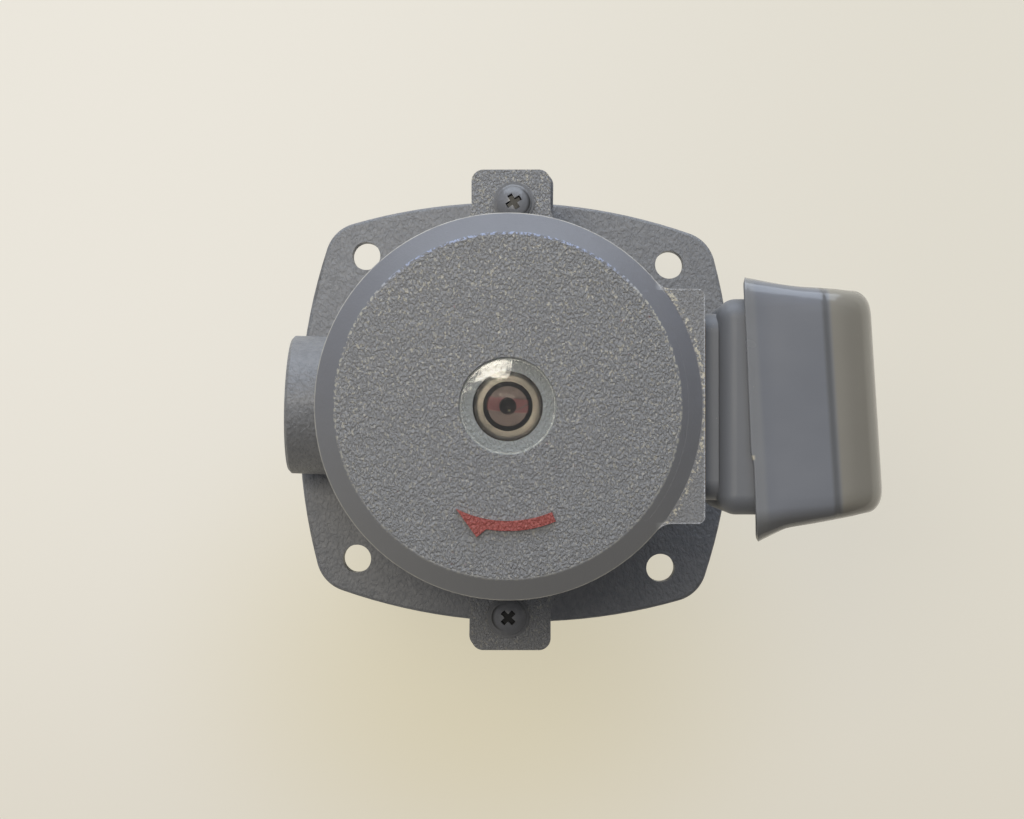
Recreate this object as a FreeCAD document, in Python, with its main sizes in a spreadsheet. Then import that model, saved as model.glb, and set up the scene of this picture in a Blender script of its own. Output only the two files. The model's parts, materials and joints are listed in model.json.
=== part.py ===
import FreeCAD, Part
import math
import os
import re
import Sketcher
from FreeCAD import Placement, Rotation, Vector

# An immersion coolant pump. It hangs through the lid of a tank on its square flange:
# the motor stands above, the column with the impeller at its foot reaches down into
# the coolant. Z is the shaft's axis, and the height 0 is the flange's underside, which
# rests on the lid. X points at the conduit box, and the discharge port faces the other
# way. Lengths are in millimetres and angles in degrees.

SIZES = {
    # How far a cut runs past the material, and how deep a joined form starts in it
    "overrun": 1.0,
    "sunk": 0.5,
    "joint_sunk": 0.1,
    # Square mounting flange with bulged sides
    "flange_bulge": 204.0,
    "flange_corner": 14.0,
    "flange_thick": 8.0,
    "flange_edge": 1.2,
    "bolt_spacing": 111.1,
    "bolt_edge": 21.3,
    "bolt_side": 23.85,
    "flange_shift": 0.95,
    "bolt_hole": 5.15,
    # Drum of the bracket, from the flange up to the joint with the motor
    "rim_step": 6.5,
    "drum_wall": 6.0,
    "drum_floor": 10.0,
    "floor_opening": 30.0,
    "register_depth": 2.0,
    "register_gap": 0.3,
    "joint_height": 62.0,
    "rim_proud": 5.5,
    "rim_height": 10.0,
    "spigot_height": 4.0,
    "spigot_wall": 5.0,
    "web_drop": 17.0,
    "web_thick": 7.0,
    "web_bore": 16.0,
    "seat_wall": 7.0,
    "seat_lip": 1.75,
    # Ears that hold the motor on the bracket
    "ear_edge": 11.25,
    "ear_turn": 0.95,
    "ear_width": 26.7,
    "ear_corner": 4.0,
    "ear_flare": 8.0,
    "ear_screw_step": 5.85,
    "ear_screw_radius": 3.15,
    "ear_hole_gap": 0.3,
    "ear_head_radius": 5.9,
    "ear_head_height": 3.6,
    "ear_washer_radius": 6.9,
    "ear_washer_thick": 1.2,
    "ear_screw_length": 22.0,
    # Discharge port and the elbow behind it
    "port_drop": 30.2,
    "port_proud": 0.15,
    "port_radius": 24.5,
    "port_bore": 15.2,
    "port_depth": 20.0,
    "port_lip": 1.0,
    "port_root": 1.5,
    "elbow_bend": 14.0,
    "riser_step": 5.5,
    "riser_bore": 8.5,
    "riser_wall": 3.5,
    # Motor can
    "can_height": 96.0,
    "can_radius": 58.5,
    "can_draft": 0.5,
    "shoulder_step": 2.5,
    "shoulder_rise": 1.5,
    "bevel_reach": 6.5,
    "bevel_drop": 6.0,
    "bevel_edge": 1.0,
    "can_wall": 6.5,
    "can_roof": 8.0,
    "nest_wall": 6.0,
    "nest_below": 0.5,
    "motor_turn": 1.7,
    # Window over the shaft's end
    "recess_radius": 14.7,
    "recess_depth": 2.7,
    "ledge_bore": 10.6,
    "ledge_thick": 2.5,
    "window_thick": 2.1,
    "window_edge": 0.5,
    "window_gap": 0.15,
    # Raised arrow for the direction of rotation
    "arrow_height": 1.0,
    "arrow_inner": 34.3,
    "arrow_width": 3.0,
    "arrow_barb_reach": 2.9,
    "arrow_tail_turn": 22.7,
    "arrow_neck_turn": 9.8,
    "arrow_barb_sweep": 3.5,
    "arrow_head_sweep": 13.5,
    # Pad for the conduit box
    "pad_proud": 0.9,
    "pad_width": 70.8,
    "pad_low": 4.0,
    "pad_corner": 1.6,
    "pad_root": 40.0,
    # Upper bearing
    "upper_bore": 15.0,
    "upper_outside": 35.0,
    "upper_width": 11.0,
    "upper_ball": 5.95,
    "upper_pitch": 25.0,
    "upper_land": 1.65,
    "upper_count": 8,
    "spring_height": 1.5,
    "spring_thick": 0.4,
    "spring_width": 3.0,
    "spring_waves": 3,
    # Lower bearing and its snap rings
    "lower_bore": 17.0,
    "lower_outside": 40.0,
    "lower_width": 12.0,
    "lower_ball": 6.747,
    "lower_pitch": 28.5,
    "lower_land": 1.85,
    "lower_count": 8,
    "snap_thick": 1.75,
    "snap_depth": 1.25,
    "snap_width": 3.2,
    "clip_thick": 1.0,
    "clip_depth": 0.6,
    "clip_width": 2.2,
    "clip_open": 40.0,
    # Parts common to both bearings
    "ball_gap": 0.08,
    "seat_gap": 0.03,
    "shield_thick": 0.4,
    "shield_drop": 0.4,
    "shield_gap": 0.3,
    "cage_half": 0.9,
    "cage_rim": 0.5,
    "pocket_gap": 0.1,
    # Stator and rotor
    "stator_low": 18.0,
    "core_headroom": 14.3,
    "stator_bore": 28.0,
    "slot_count": 24,
    "slot_width": 4.0,
    "slot_depth": 12.0,
    "tooth_tip": 1.5,
    "coil_gap": 0.2,
    "end_turn_height": 14.0,
    "end_turn_wall": 15.5,
    "air_gap": 0.4,
    "bar_count": 16,
    "bar_width": 2.4,
    "bar_depth": 7.0,
    "bar_cover": 1.0,
    "end_ring_height": 7.0,
    "end_ring_wall": 11.0,
    # Shaft
    "rotor_seat": 10.0,
    "shaft_radius": 7.5,
    "shaft_end_proud": 0.9,
    "shaft_end_chamfer": 1.45,
    "centre_hole": 2.6,
    "centre_depth": 5.0,
    "centre_slope": 30.0,
    "thread_chamfer": 0.8,
    "bearing_step_below": 2.0,
    "impeller_seat": 6.35,
    "thread_radius": 4.75,
    "thread_end": 3.0,
    # Column with riser and volute, in one casting
    "gasket_thick": 0.8,
    "column_length": 116.0,
    "column_flange_edge": 12.5,
    "column_flange_thick": 8.0,
    "barrel_radius": 31.0,
    "barrel_wall": 6.0,
    "column_window_width": 30.0,
    "column_window_top": 22.0,
    "column_window_foot": 38.0,
    "column_window_corner": 6.0,
    "column_screw_edge": 10.0,
    "column_screw_radius": 2.95,
    "column_head_radius": 5.0,
    "column_head_height": 4.0,
    "column_screw_bite": 9.0,
    "screw_end_gap": 0.5,
    "hole_gap": 0.25,
    # Volute
    "chamber_depth": 19.0,
    "volute_roof": 5.0,
    "volute_gap": 4.0,
    "volute_step": 2.8,
    "riser_way_start": 4.0,
    "volute_wall": 4.5,
    "volute_flange_step": 13.0,
    "volute_flange_thick": 6.0,
    "lug_inset": 0.2,
    "lug_radius": 5.0,
    "cover_screw_size": 2.1,
    "cover_screw_bite": 9.0,
    "foot_head_radius": 4.2,
    "foot_head_height": 3.5,
    # Throat bushing
    "bushing_radius": 12.0,
    "bushing_collar_wall": 3.0,
    "bushing_collar_height": 2.0,
    "bushing_gap": 0.3,
    # Impeller
    "impeller_radius": 33.0,
    "impeller_gap": 1.6,
    "shroud_thick": 2.6,
    "hub_radius": 10.5,
    "hub_height": 11.4,
    "hub_chamfer": 1.5,
    "hub_cone_drop": 2.0,
    "hub_cone_reach": 4.0,
    "vane_count": 6,
    "vane_start": 15.0,
    "vane_inlet_angle": 30.0,
    "vane_outlet_angle": 25.0,
    "vane_thick": 2.4,
    "vane_gap": 0.6,
    "vane_inset": 0.3,
    "vane_sunk": 0.2,
    "key_width": 3.0,
    "key_length": 9.0,
    "key_rise": 1.2,
    "key_margin": 1.0,
    "washer_radius": 9.0,
    "washer_thick": 1.5,
    "nut_flats": 17.0,
    "nut_height": 6.5,
    # Suction cover with the inlet and feet
    "cover_gasket": 0.5,
    "cover_thick": 7.0,
    "cover_land_step": 1.0,
    "cover_land_height": 1.0,
    "inlet_radius": 17.0,
    "inlet_round": 3.0,
    "foot_height": 16.5,
    "foot_inset": 7.0,
    "foot_width": 13.0,
    "foot_depth": 11.0,
    "foot_corner": 2.0,
    # Slinger on the shaft
    "slinger_height": 22.0,
    "slinger_radius": 18.0,
    "slinger_thick": 2.0,
    "slinger_slope": 1.5,
    "slinger_hub": 11.0,
    "slinger_hub_height": 6.0,
    # Conduit box: gasket, base with its drawn seat, cover
    "box_drop": 0.5,
    "box_stand": 2.0,
    "box_gasket": 0.8,
    "box_seat_side": 4.35,
    "box_seat_end": 3.0,
    "box_seat_rise": 3.5,
    "cover_room": 5.5,
    "cover_fit": 0.3,
    "box_depth": 14.5,
    "box_corner": 6.0,
    "box_sheet": 1.5,
    "lead_headroom": 12.5,
    "lead_hole": 5.5,
    "cover_overlap": 4.0,
    "split_lean": 6.8,
    "split_room": 3.0,
    "cover_reach": 39.8,
    "cover_shift": 0.7,
    "cover_skew": 3.5,
    "cover_width": 77.0,
    "cover_draft": 7.0,
    "cover_flare": 1.3,
    "cover_flare_depth": 10.0,
    "cover_shoulder": 16.0,
    "cover_low_shoulder": 6.0,
    "cover_edge": 5.5,
    "cover_sheet": 1.2,
    "draft_past": 5.0,
    "flare_sunk": 0.05,
    "entry_radius": 11.1,
    "entry_place": 21.6,
    "entry_nut_room": 3.0,
    "post_radius": 4.0,
    "post_bore": 2.9,
    "post_gap": 0.65,
    "box_screw_radius": 2.0,
    "box_screw_head": 4.0,
    "box_screw_head_height": 2.4,
    "box_screw_place": 18.0,
    "box_screw_bite": 7.0,
    "ground_headroom": 15.5,
    "ground_end_gap": 0.3,
    # Leads
    "lead_radius": 1.1,
    "lead_spacing": 3.3,
    "lead_bend": 8.0,
    "lead_inset": 5.7,
    "lead_drop_step": 1.8,
    "lead_end_drop": 8.5,
    "grommet_wall": 0.9,
    "grommet_flange": 1.0,
    "grommet_flange_thick": 1.2,
    "grommet_tail": 2.0,
    "terminal_length": 6.0,
    "terminal_wall": 0.6,
    "terminal_eye": 2.6,
    "terminal_thick": 0.8,
    "terminal_join": 0.2,
    "terminal_gap": 0.1,
    "terminal_corner": 1.0,
}

# Shares of other sizes: a bearing groove's radius by its ball's diameter, and where
# a pan head's side ends, where its dome begins and how wide the dome's top is
GROOVE_SHARE = 0.52
HEAD_SIDE_SHARE = 0.55
HEAD_DOME_SHARE = 0.92
HEAD_TOP_SHARE = 0.72

# How many points the wave spring's edges pass, and the two sides of the conduit box
# seen from the motor
WAVE_POINTS = 24
SIDES = (("-1", "right"), ("1", "left"))

# Heights and radii that follow from the sizes above
FOLLOWING = {
    "rim_radius": "can_radius + rim_proud",
    "drum_radius": "rim_radius - rim_step",
    "can_bore": "can_radius - can_wall",
    "flange_width": "bolt_spacing + 2*bolt_side",
    "flange_depth": "bolt_spacing + 2*bolt_edge",
    "port_reach": "flange_width/2 - flange_shift + port_proud",
    "port_height": "joint_height - port_drop",
    "ear_screw_place": "rim_radius + ear_screw_step",
    "ear_reach": "ear_screw_place + ear_edge",
    "arrow_outer": "arrow_inner + arrow_width",
    "arrow_barb": "arrow_outer + arrow_barb_reach",
    "arrow_barb_turn": "arrow_neck_turn + arrow_barb_sweep",
    "arrow_tip_turn": "arrow_barb_turn + arrow_head_sweep",
    "web_height": "joint_height - web_drop",
    "seat_height": "lower_width + snap_thick + seat_lip",
    "can_top": "joint_height + can_height",
    "bevel_low": "can_top - bevel_drop",
    "recess_floor": "can_top - recess_depth",
    "upper_top": "recess_floor - ledge_thick - spring_height",
    "upper_low": "upper_top - upper_width",
    "lower_top": "web_height + lower_width",
    "core_low": "joint_height + stator_low",
    "core_top": "upper_low - core_headroom",
    "stack_height": "core_top - core_low",
    "rotor_radius": "stator_bore - air_gap",
    "volute_start": "impeller_radius + volute_gap",
    "volute_flange": "volute_start + volute_flange_step",
    "lug_place": "volute_flange - lug_inset",
    "riser_place": "volute_start + riser_step",
    "column_flange": "riser_place + column_flange_edge",
    "column_top": "register_depth - gasket_thick",
    "column_screw_place": "column_flange - column_screw_edge",
    "column_window_height": "column_length - column_window_top - column_window_foot",
    "roof_top": "volute_roof + chamber_depth - column_length",
    "chamber_top": "chamber_depth - column_length",
    "cover_top": "0 - column_length - cover_gasket",
    "cover_low": "cover_top - cover_thick",
    "cover_land": "impeller_radius + cover_land_step",
    "foot_place": "volute_flange - foot_inset",
    "bushing_collar": "bushing_radius + bushing_collar_wall",
    "foot_low": "cover_low - foot_height",
    "shroud_top": "chamber_top - impeller_gap",
    "hub_low": "shroud_top - hub_height",
    "nut_top": "hub_low - washer_thick",
    "nut_low": "nut_top - nut_height",
    "pad_face": "can_radius + pad_proud",
    "box_centre": "(bevel_low + joint_height + pad_low)/2 - box_drop",
    "box_width": "cover_width - 2*cover_room",
    "box_seat_width": "box_width - 2*box_seat_side",
    "box_seat_tall": "2*(box_centre - joint_height - rim_height - box_stand)",
    "box_tall": "box_seat_tall + 2*box_seat_end",
    "cover_tall": "box_tall + 2*cover_sheet + 2*cover_fit",
    "lead_level": "box_centre + box_tall/2 - lead_headroom",
    "seat_face": "pad_face + box_gasket",
    "box_back": "seat_face + box_seat_rise",
    "box_floor": "box_back + box_sheet",
    "box_front": "box_back + box_depth",
    "box_front_low": "box_front + box_tall*tan(split_lean)",
    "cover_lip_place": "box_front - cover_overlap",
    "lead_start": "can_bore - lead_inset",
    "lead_drop_place": "box_front + lead_drop_step",
    "lead_end": "lead_level - lead_end_drop",
    "ground_level": "box_centre - box_tall/2 + ground_headroom",
    "riser_radius": "riser_bore + riser_wall",
}

doc = FreeCAD.newDocument("immersion_coolant_pump")
sheet = doc.addObject("Spreadsheet::Sheet", "Sizes")
for row, (name, number) in enumerate(SIZES.items(), start=1):
    sheet.set(f"A{row}", name)
    sheet.set(f"B{row}", str(number))
    sheet.setAlias(f"B{row}", name)
doc.recompute()

NODES = []
WORD = re.compile(r"[a-z][a-z0-9_]*")


def full(formula):
    """Write a formula over the names above as one over the sheet's cells."""
    def spelled(match):
        word = match.group()
        if word in FOLLOWING:
            return f"({full(FOLLOWING[word])})"
        return f"Sizes.{word}" if word in SIZES else word
    return WORD.sub(spelled, formula)


def value(formula):
    """The number that a formula gives at the present sizes."""
    return float(sheet.evalExpression(full(formula)))


def new_body(label, turned=False):
    """An empty body for one sub-part; what belongs to the motor turns with it."""
    body = doc.addObject("PartDesign::Body", label)
    body.AllowCompound = True
    if turned:
        body.Placement.Rotation = Rotation(Vector(0, 0, 1), value("motor_turn"))
        body.setExpression("Placement.Rotation.Angle", full("motor_turn"))
    return body


def finished(item, label):
    """List an object as the sub-part of that name."""
    item.Label = label
    NODES.append(item)
    return item


def origin_part(body, role):
    return next(part for part in body.Origin.OriginFeatures if part.Role == role)


def sketch(body, name, role, height=None):
    """A sketch on one of the body's planes, moved along the plane's normal."""
    item = body.newObject("Sketcher::SketchObject", name)
    item.AttachmentSupport = [(origin_part(body, role), "")]
    item.MapMode = "FlatFace"
    if height:
        item.setExpression("AttachmentOffset.Base.z", full(height))
    return item


def fix_points(item, places):
    """Hold points of a sketch at formulas: places holds (curve, end, x, y)."""
    rules = []
    for curve, end, x, y in places:
        rules.append(Sketcher.Constraint("DistanceX", -1, 1, curve, end, value(x)))
        rules.append(Sketcher.Constraint("DistanceY", -1, 1, curve, end, value(y)))
    first = item.ConstraintCount
    item.addConstraint(rules)
    for number, (curve, end, x, y) in enumerate(places):
        item.setExpression(f"Constraints[{first + 2 * number}]", full(x))
        item.setExpression(f"Constraints[{first + 2 * number + 1}]", full(y))


def fix_radius(item, curve, radius):
    number = item.addConstraint(Sketcher.Constraint("Radius", curve, value(radius)))
    item.setExpression(f"Constraints[{number}]", full(radius))


def arc_between(start, end, radius, wide):
    """The arc from start to end; a negative radius runs clockwise."""
    chord = end - start
    across = Vector(-chord.y, chord.x, 0).normalize()
    rise = math.sqrt(max(radius**2 - (chord.Length / 2)**2, 0))
    side = math.copysign(1, radius) * (-1 if wide else 1)
    centre = (start + end) / 2 + across * rise * side
    first, last = (start, end) if radius > 0 else (end, start)
    circle = Part.Circle(centre, Vector(0, 0, 1), abs(radius))
    angles = [math.atan2(p.y - centre.y, p.x - centre.x) for p in (first, last)]
    return Part.ArcOfCircle(circle, angles[0], angles[1])


def outline(item, corners):
    """A closed outline. Each corner is (x, y), or (x, y, radius, turn) where an arc
    leaves it: turn is 1 for counter-clockwise, -1 for clockwise, and 2 or -2 for the
    arc of more than half a circle."""
    points = [Vector(value(corner[0]), value(corner[1]), 0) for corner in corners]
    joints = []
    first = item.GeometryCount
    for number, corner in enumerate(corners):
        start, end = points[number], points[(number + 1) % len(points)]
        if len(corner) == 2:
            item.addGeometry(Part.LineSegment(start, end), False)
            joints.append((1, 2))
            continue
        turn = corner[3]
        radius = math.copysign(value(corner[2]), turn)
        item.addGeometry(arc_between(start, end, radius, abs(turn) == 2), False)
        joints.append((1, 2) if turn > 0 else (2, 1))
    meets = []
    for number in range(len(corners)):
        after = (number + 1) % len(corners)
        meets.append(Sketcher.Constraint(
            "Coincident", first + number, joints[number][1], first + after, joints[after][0]))
    item.addConstraint(meets)
    for number, corner in enumerate(corners):
        if len(corner) > 2:
            fix_radius(item, first + number, corner[2])
    fix_points(item, [(first + number, joints[number][0], corner[0], corner[1])
                      for number, corner in enumerate(corners)])
    return item


def circle(item, x, y, radius):
    """A circle in a sketch, with its centre and radius held."""
    centre = Vector(value(x), value(y), 0)
    curve = item.addGeometry(Part.Circle(centre, Vector(0, 0, 1), value(radius)), False)
    fix_radius(item, curve, radius)
    fix_points(item, [(curve, 3, x, y)])
    return item


def half_disc(item, x, y, radius):
    """Half a disc whose straight side is upright through its centre."""
    centre, size = Vector(value(x), value(y), 0), value(radius)
    round_side = Part.ArcOfCircle(Part.Circle(centre, Vector(0, 0, 1), size),
                                  -math.pi / 2, math.pi / 2)
    arc = item.addGeometry(round_side, False)
    line = item.addGeometry(Part.LineSegment(round_side.EndPoint, round_side.StartPoint), False)
    item.addConstraint([Sketcher.Constraint("Coincident", arc, 2, line, 1),
                        Sketcher.Constraint("Coincident", line, 2, arc, 1),
                        Sketcher.Constraint("Vertical", line)])
    fix_radius(item, arc, radius)
    fix_points(item, [(arc, 3, x, y)])
    item.addConstraint(Sketcher.Constraint("PointOnObject", arc, 3, line))


def rectangle(item, x_low, x_high, y_low, y_high):
    corners = [(x_low, y_low), (x_high, y_low), (x_high, y_high), (x_low, y_high)]
    return outline(item, corners)


def rounded_box(item, half_x, half_y, corner, x="0", y="0"):
    """A rectangle with round corners about (x, y)."""
    spots = []
    for across, along, first in ((1, 1, "y"), (-1, 1, "x"), (-1, -1, "y"), (1, -1, "x")):
        near_x = f"{x} + {across}*({half_x} - ({corner}))"
        near_y = f"{y} + {along}*({half_y} - ({corner}))"
        far_x = f"{x} + {across}*({half_x})"
        far_y = f"{y} + {along}*({half_y})"
        begin, end = (far_x, near_y), (near_x, far_y)
        if first == "x":
            begin, end = end, begin
        spots.append(begin + (corner, 1))
        spots.append(end)
    return outline(item, spots)


def padded(body, name, profile, length, reverse=False):
    """A pad from the sketch along its normal, or against it."""
    pad = body.newObject("PartDesign::Pad", name)
    pad.Profile = profile
    pad.Reversed = reverse
    pad.setExpression("Length", full(length))
    doc.recompute()
    return pad


def pocketed(body, name, profile, length=None, reverse=False, both=False):
    """A pocket; with no length it goes through all. It has to take material away."""
    before = body.Shape.Volume
    pocket = body.newObject("PartDesign::Pocket", name)
    pocket.Profile = profile
    pocket.Reversed = reverse
    pocket.Midplane = both
    if length:
        pocket.setExpression("Length", full(length))
    else:
        pocket.Type = "ThroughAll"
    doc.recompute()
    if pocket.Shape.Volume > before - 1e-6:
        raise RuntimeError(f"{name} cuts nothing from {body.Label}")
    return pocket


def axis_line(item, x):
    """A construction line parallel to Z at x, to turn a profile about."""
    line = Part.LineSegment(Vector(value(x), 0, 0), Vector(value(x), 10, 0))
    curve = item.addGeometry(line, True)
    fix_points(item, [(curve, 1, x, "0"), (curve, 2, x, "10")])
    return item


def turned_solid(body, name, profile, kind="PartDesign::Revolution", own_axis=False):
    """The profile turned about Z, or about its own construction line."""
    before = body.Shape.Volume if kind.endswith("Groove") else 0
    item = body.newObject(kind, name)
    item.Profile = profile
    if own_axis:
        item.ReferenceAxis = (profile, ["Axis0"])
    else:
        item.ReferenceAxis = (origin_part(body, "Z_Axis"), [""])
    item.Angle = 360
    doc.recompute()
    if kind.endswith("Groove") and item.Shape.Volume > before - 1e-6:
        raise RuntimeError(f"{name} cuts nothing from {body.Label}")
    return item


def polar(body, feature, count, name):
    """Copies of a feature round the shaft's axis."""
    pattern = body.newObject("PartDesign::PolarPattern", name)
    pattern.Originals = [feature]
    pattern.Axis = (origin_part(body, "Z_Axis"), [""])
    pattern.Angle = 360
    if count in SIZES:
        pattern.setExpression("Occurrences", full(count))
    else:
        pattern.Occurrences = int(count)
    body.Tip = pattern
    doc.recompute()
    return pattern


def edge_names(item, wanted):
    return [f"Edge{number}" for number, edge in enumerate(item.Shape.Edges, start=1)
            if wanted(edge)]


def rounded(body, name, base, wanted, radius, kind="PartDesign::Fillet"):
    """A fillet or chamfer on the edges of base that pass a test."""
    item = body.newObject(kind, name)
    item.Base = (base, edge_names(base, wanted))
    item.setExpression("Radius" if kind.endswith("Fillet") else "Size", full(radius))
    doc.recompute()
    return item


def near(number, formula, room=0.05):
    return abs(number - value(formula)) < room


def upright(edge):
    """Whether an edge is a straight line parallel to Z."""
    if not isinstance(edge.Curve, Part.Line):
        return False
    return abs(edge.Curve.Direction.z) > 0.999


def ring_edge(radius, height):
    """A test for circles about the shaft's axis of one radius at one height."""
    def wanted(edge):
        if not isinstance(edge.Curve, Part.Circle):
            return False
        centre = edge.Curve.Center
        on_axis = math.hypot(centre.x, centre.y) < 0.01
        return on_axis and near(edge.Curve.Radius, radius) and near(centre.z, height)
    return wanted


def spun(label, corners, turned=False):
    """A sub-part that is one profile turned about the shaft's axis."""
    body = new_body(label, turned)
    outline(sketch(body, f"{label}_profile", "XZ_Plane"), corners)
    turned_solid(body, f"{label}_turned", doc.getObject(f"{label}_profile"))
    return finished(body, label)


def add_ears(body, low, turn="0"):
    """The two ears of the can or the bracket, with their flares into the rim."""
    ear = sketch(body, "ear_outline", "XY_Plane", low)
    ear.AttachmentOffset = Placement(Vector(0, 0, value(low)),
                                     Rotation(Vector(0, 0, 1), value(turn)))
    if turn != "0":
        ear.setExpression("AttachmentOffset.Rotation.Angle", full(turn))
    side, end = "ear_width/2", "ear_reach"
    outline(ear, [
        (f"0 - {side}", "rim_radius/2"),
        (side, "rim_radius/2"),
        (side, f"{end} - ear_corner", "ear_corner", 1),
        (f"{side} - ear_corner", end),
        (f"ear_corner - {side}", end, "ear_corner", 1),
        (f"0 - {side}", f"{end} - ear_corner"),
    ])
    pad = padded(body, "ear", ear, "rim_height")
    pattern = polar(body, pad, "2", "ears")

    def root(edge):
        middle = Rotation(Vector(0, 0, 1), -value(turn)).multVec(edge.CenterOfMass)
        at_side = near(abs(middle.x), "ear_width/2")
        at_rim = near(math.hypot(middle.x, middle.y), "rim_radius")
        return upright(edge) and at_side and at_rim
    return rounded(body, "ear_flares", pattern, root, "ear_flare")


# Bracket: flange, drum, bearing seat and discharge port in one casting
def make_bracket():
    body = new_body("pump_bracket")
    # Each side is an arc about a centre on the far side of the axis. Two arcs meet on
    # the line halfway between their centres, at the same distance from both.
    in_x, in_y = "(flange_bulge - flange_width/2)", "(flange_bulge - flange_depth/2)"
    apart = f"sqrt({in_x}^2 + {in_y}^2)"
    along = f"sqrt(flange_bulge^2 - {apart}^2/4)/{apart}"
    corner_x = f"({in_y}*{along} - {in_x}/2)"
    corner_y = f"({in_x}*{along} - {in_y}/2)"
    right, left = f"flange_shift + {corner_x}", f"flange_shift - {corner_x}"
    plate = outline(sketch(body, "flange_outline", "XY_Plane"), [
        (right, corner_y, "flange_bulge", 1),
        (left, corner_y, "flange_bulge", 1),
        (left, f"0 - {corner_y}", "flange_bulge", 1),
        (right, f"0 - {corner_y}", "flange_bulge", 1),
    ])
    flange = padded(body, "flange", plate, "flange_thick")
    flange = rounded(body, "flange_corners", flange, upright, "flange_corner")

    def top_edge(edge):
        return near(edge.BoundBox.ZMin, "flange_thick") and near(edge.BoundBox.ZMax, "flange_thick")
    rounded(body, "flange_edge_round", flange, top_edge, "flange_edge")

    inner = "drum_radius - drum_wall"
    register = "column_flange + register_gap"
    seat = "lower_outside/2 + seat_gap"
    groove = f"{seat} + snap_depth"
    groove_low = "lower_top + seat_gap"
    groove_top = "lower_top + snap_thick + 3*seat_gap"
    web_low = "web_height - web_thick"
    seat_top = "web_height + seat_height"
    spigot = "can_bore - seat_gap"
    spigot_top = "joint_height + spigot_height"
    rim_low = "joint_height - rim_height"
    outline(sketch(body, "drum_profile", "XZ_Plane"), [
        ("floor_opening", "register_depth"),
        (register, "register_depth"),
        (register, "0"),
        ("drum_radius", "0"),
        ("drum_radius", rim_low),
        ("rim_radius", rim_low),
        ("rim_radius", "joint_height"),
        (spigot, "joint_height"),
        (spigot, spigot_top),
        (f"{spigot} - spigot_wall", spigot_top),
        (f"{spigot} - spigot_wall", "web_height"),
        (f"{seat} + seat_wall", "web_height"),
        (f"{seat} + seat_wall", seat_top),
        (seat, seat_top),
        (seat, groove_top),
        (groove, groove_top),
        (groove, groove_low),
        (seat, groove_low),
        (seat, "web_height"),
        ("web_bore", "web_height"),
        ("web_bore", web_low),
        (inner, web_low),
        (inner, "drum_floor"),
        ("floor_opening", "drum_floor"),
    ])
    # The plate's middle is opened before the drum goes on, because the floor has its
    # own opening, and a register under it that centres the column
    opening = circle(sketch(body, "floor_cut", "XY_Plane"), "0", "0", register)
    pocketed(body, "floor_clearing", opening, reverse=True)
    turned_solid(body, "drum", doc.getObject("drum_profile"))
    add_ears(body, rim_low, "ear_turn")

    port = circle(sketch(body, "port_outline", "YZ_Plane", "port_lip - port_reach"),
                  "0", "port_height", "port_radius")
    padded(body, "port", port, "port_reach - port_lip - drum_radius + drum_wall + port_root")
    nose = circle(sketch(body, "nose_outline", "YZ_Plane", "port_lip - port_reach"),
                  "0", "port_height", "port_radius")
    padded(body, "port_nose", nose, "port_lip", reverse=True).TaperAngle = -45
    doc.recompute()
    elbow(body, "elbow", "riser_radius", "0 - drum_radius", "register_depth",
          "PartDesign::AdditivePipe")
    elbow(body, "passage", "riser_bore", "0 - port_reach - overrun", "0 - overrun",
          "PartDesign::SubtractivePipe")
    socket = circle(sketch(body, "port_thread", "YZ_Plane", "0 - port_reach"),
                    "0", "port_height", "port_bore")
    cut = pocketed(body, "port_socket", socket, "port_depth", reverse=True)

    def mouth(edge):
        box = edge.BoundBox
        at_face = near(box.XMin, "0 - port_reach") and near(box.XMax, "0 - port_reach")
        return at_face and near(box.YLength, "2*port_bore")
    rounded(body, "port_mouth", cut, mouth, "port_lip", "PartDesign::Chamfer")

    bolt = circle(sketch(body, "bolt_circle", "XY_Plane"),
                  "bolt_spacing/2", "bolt_spacing/2", "bolt_hole")
    polar(body, pocketed(body, "bolt", bolt, "flange_thick + overrun", reverse=True), "4", "bolts")
    across = "column_screw_place*sqrt(0.5)"
    tapped = circle(sketch(body, "column_tap", "XY_Plane"),
                    across, across, "column_screw_radius + seat_gap")
    polar(body, pocketed(body, "column_thread", tapped, "drum_floor", reverse=True),
          "4", "column_threads")
    ear_tap = circle(sketch(body, "ear_tap", "XY_Plane", "joint_height"),
                     "0 - ear_screw_place*sin(ear_turn)", "ear_screw_place*cos(ear_turn)",
                     "ear_screw_radius + seat_gap")
    polar(body, pocketed(body, "ear_thread", ear_tap, "rim_height"), "2", "ear_threads")
    return finished(body, "pump_bracket")


def elbow(body, name, radius, start, end, kind):
    """A pipe from a point out along the port's axis, round the bend and down."""
    path = sketch(body, f"{name}_path", "XZ_Plane")
    places = [(start, "port_height"), ("0 - riser_place - elbow_bend", "port_height"),
              ("0 - riser_place", "port_height - elbow_bend"), ("0 - riser_place", end)]
    points = [Vector(value(x), value(y), 0) for x, y in places]
    path.addGeometry(Part.LineSegment(points[0], points[1]), False)
    path.addGeometry(arc_between(points[1], points[2], -value("elbow_bend"), False), False)
    path.addGeometry(Part.LineSegment(points[2], points[3]), False)
    path.addConstraint([Sketcher.Constraint("Coincident", 0, 2, 1, 2),
                        Sketcher.Constraint("Coincident", 1, 1, 2, 1)])
    fix_radius(path, 1, "elbow_bend")
    fix_points(path, [(0, 1, *places[0]), (0, 2, *places[1]),
                      (2, 1, *places[2]), (2, 2, *places[3])])
    section = circle(sketch(body, f"{name}_section", "YZ_Plane", start),
                     "0", "port_height", radius)
    doc.recompute()
    pipe = body.newObject(kind, name)
    pipe.Profile = section
    pipe.Spine = (path, ["Edge1", "Edge2", "Edge3"])
    doc.recompute()
    return pipe


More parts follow.
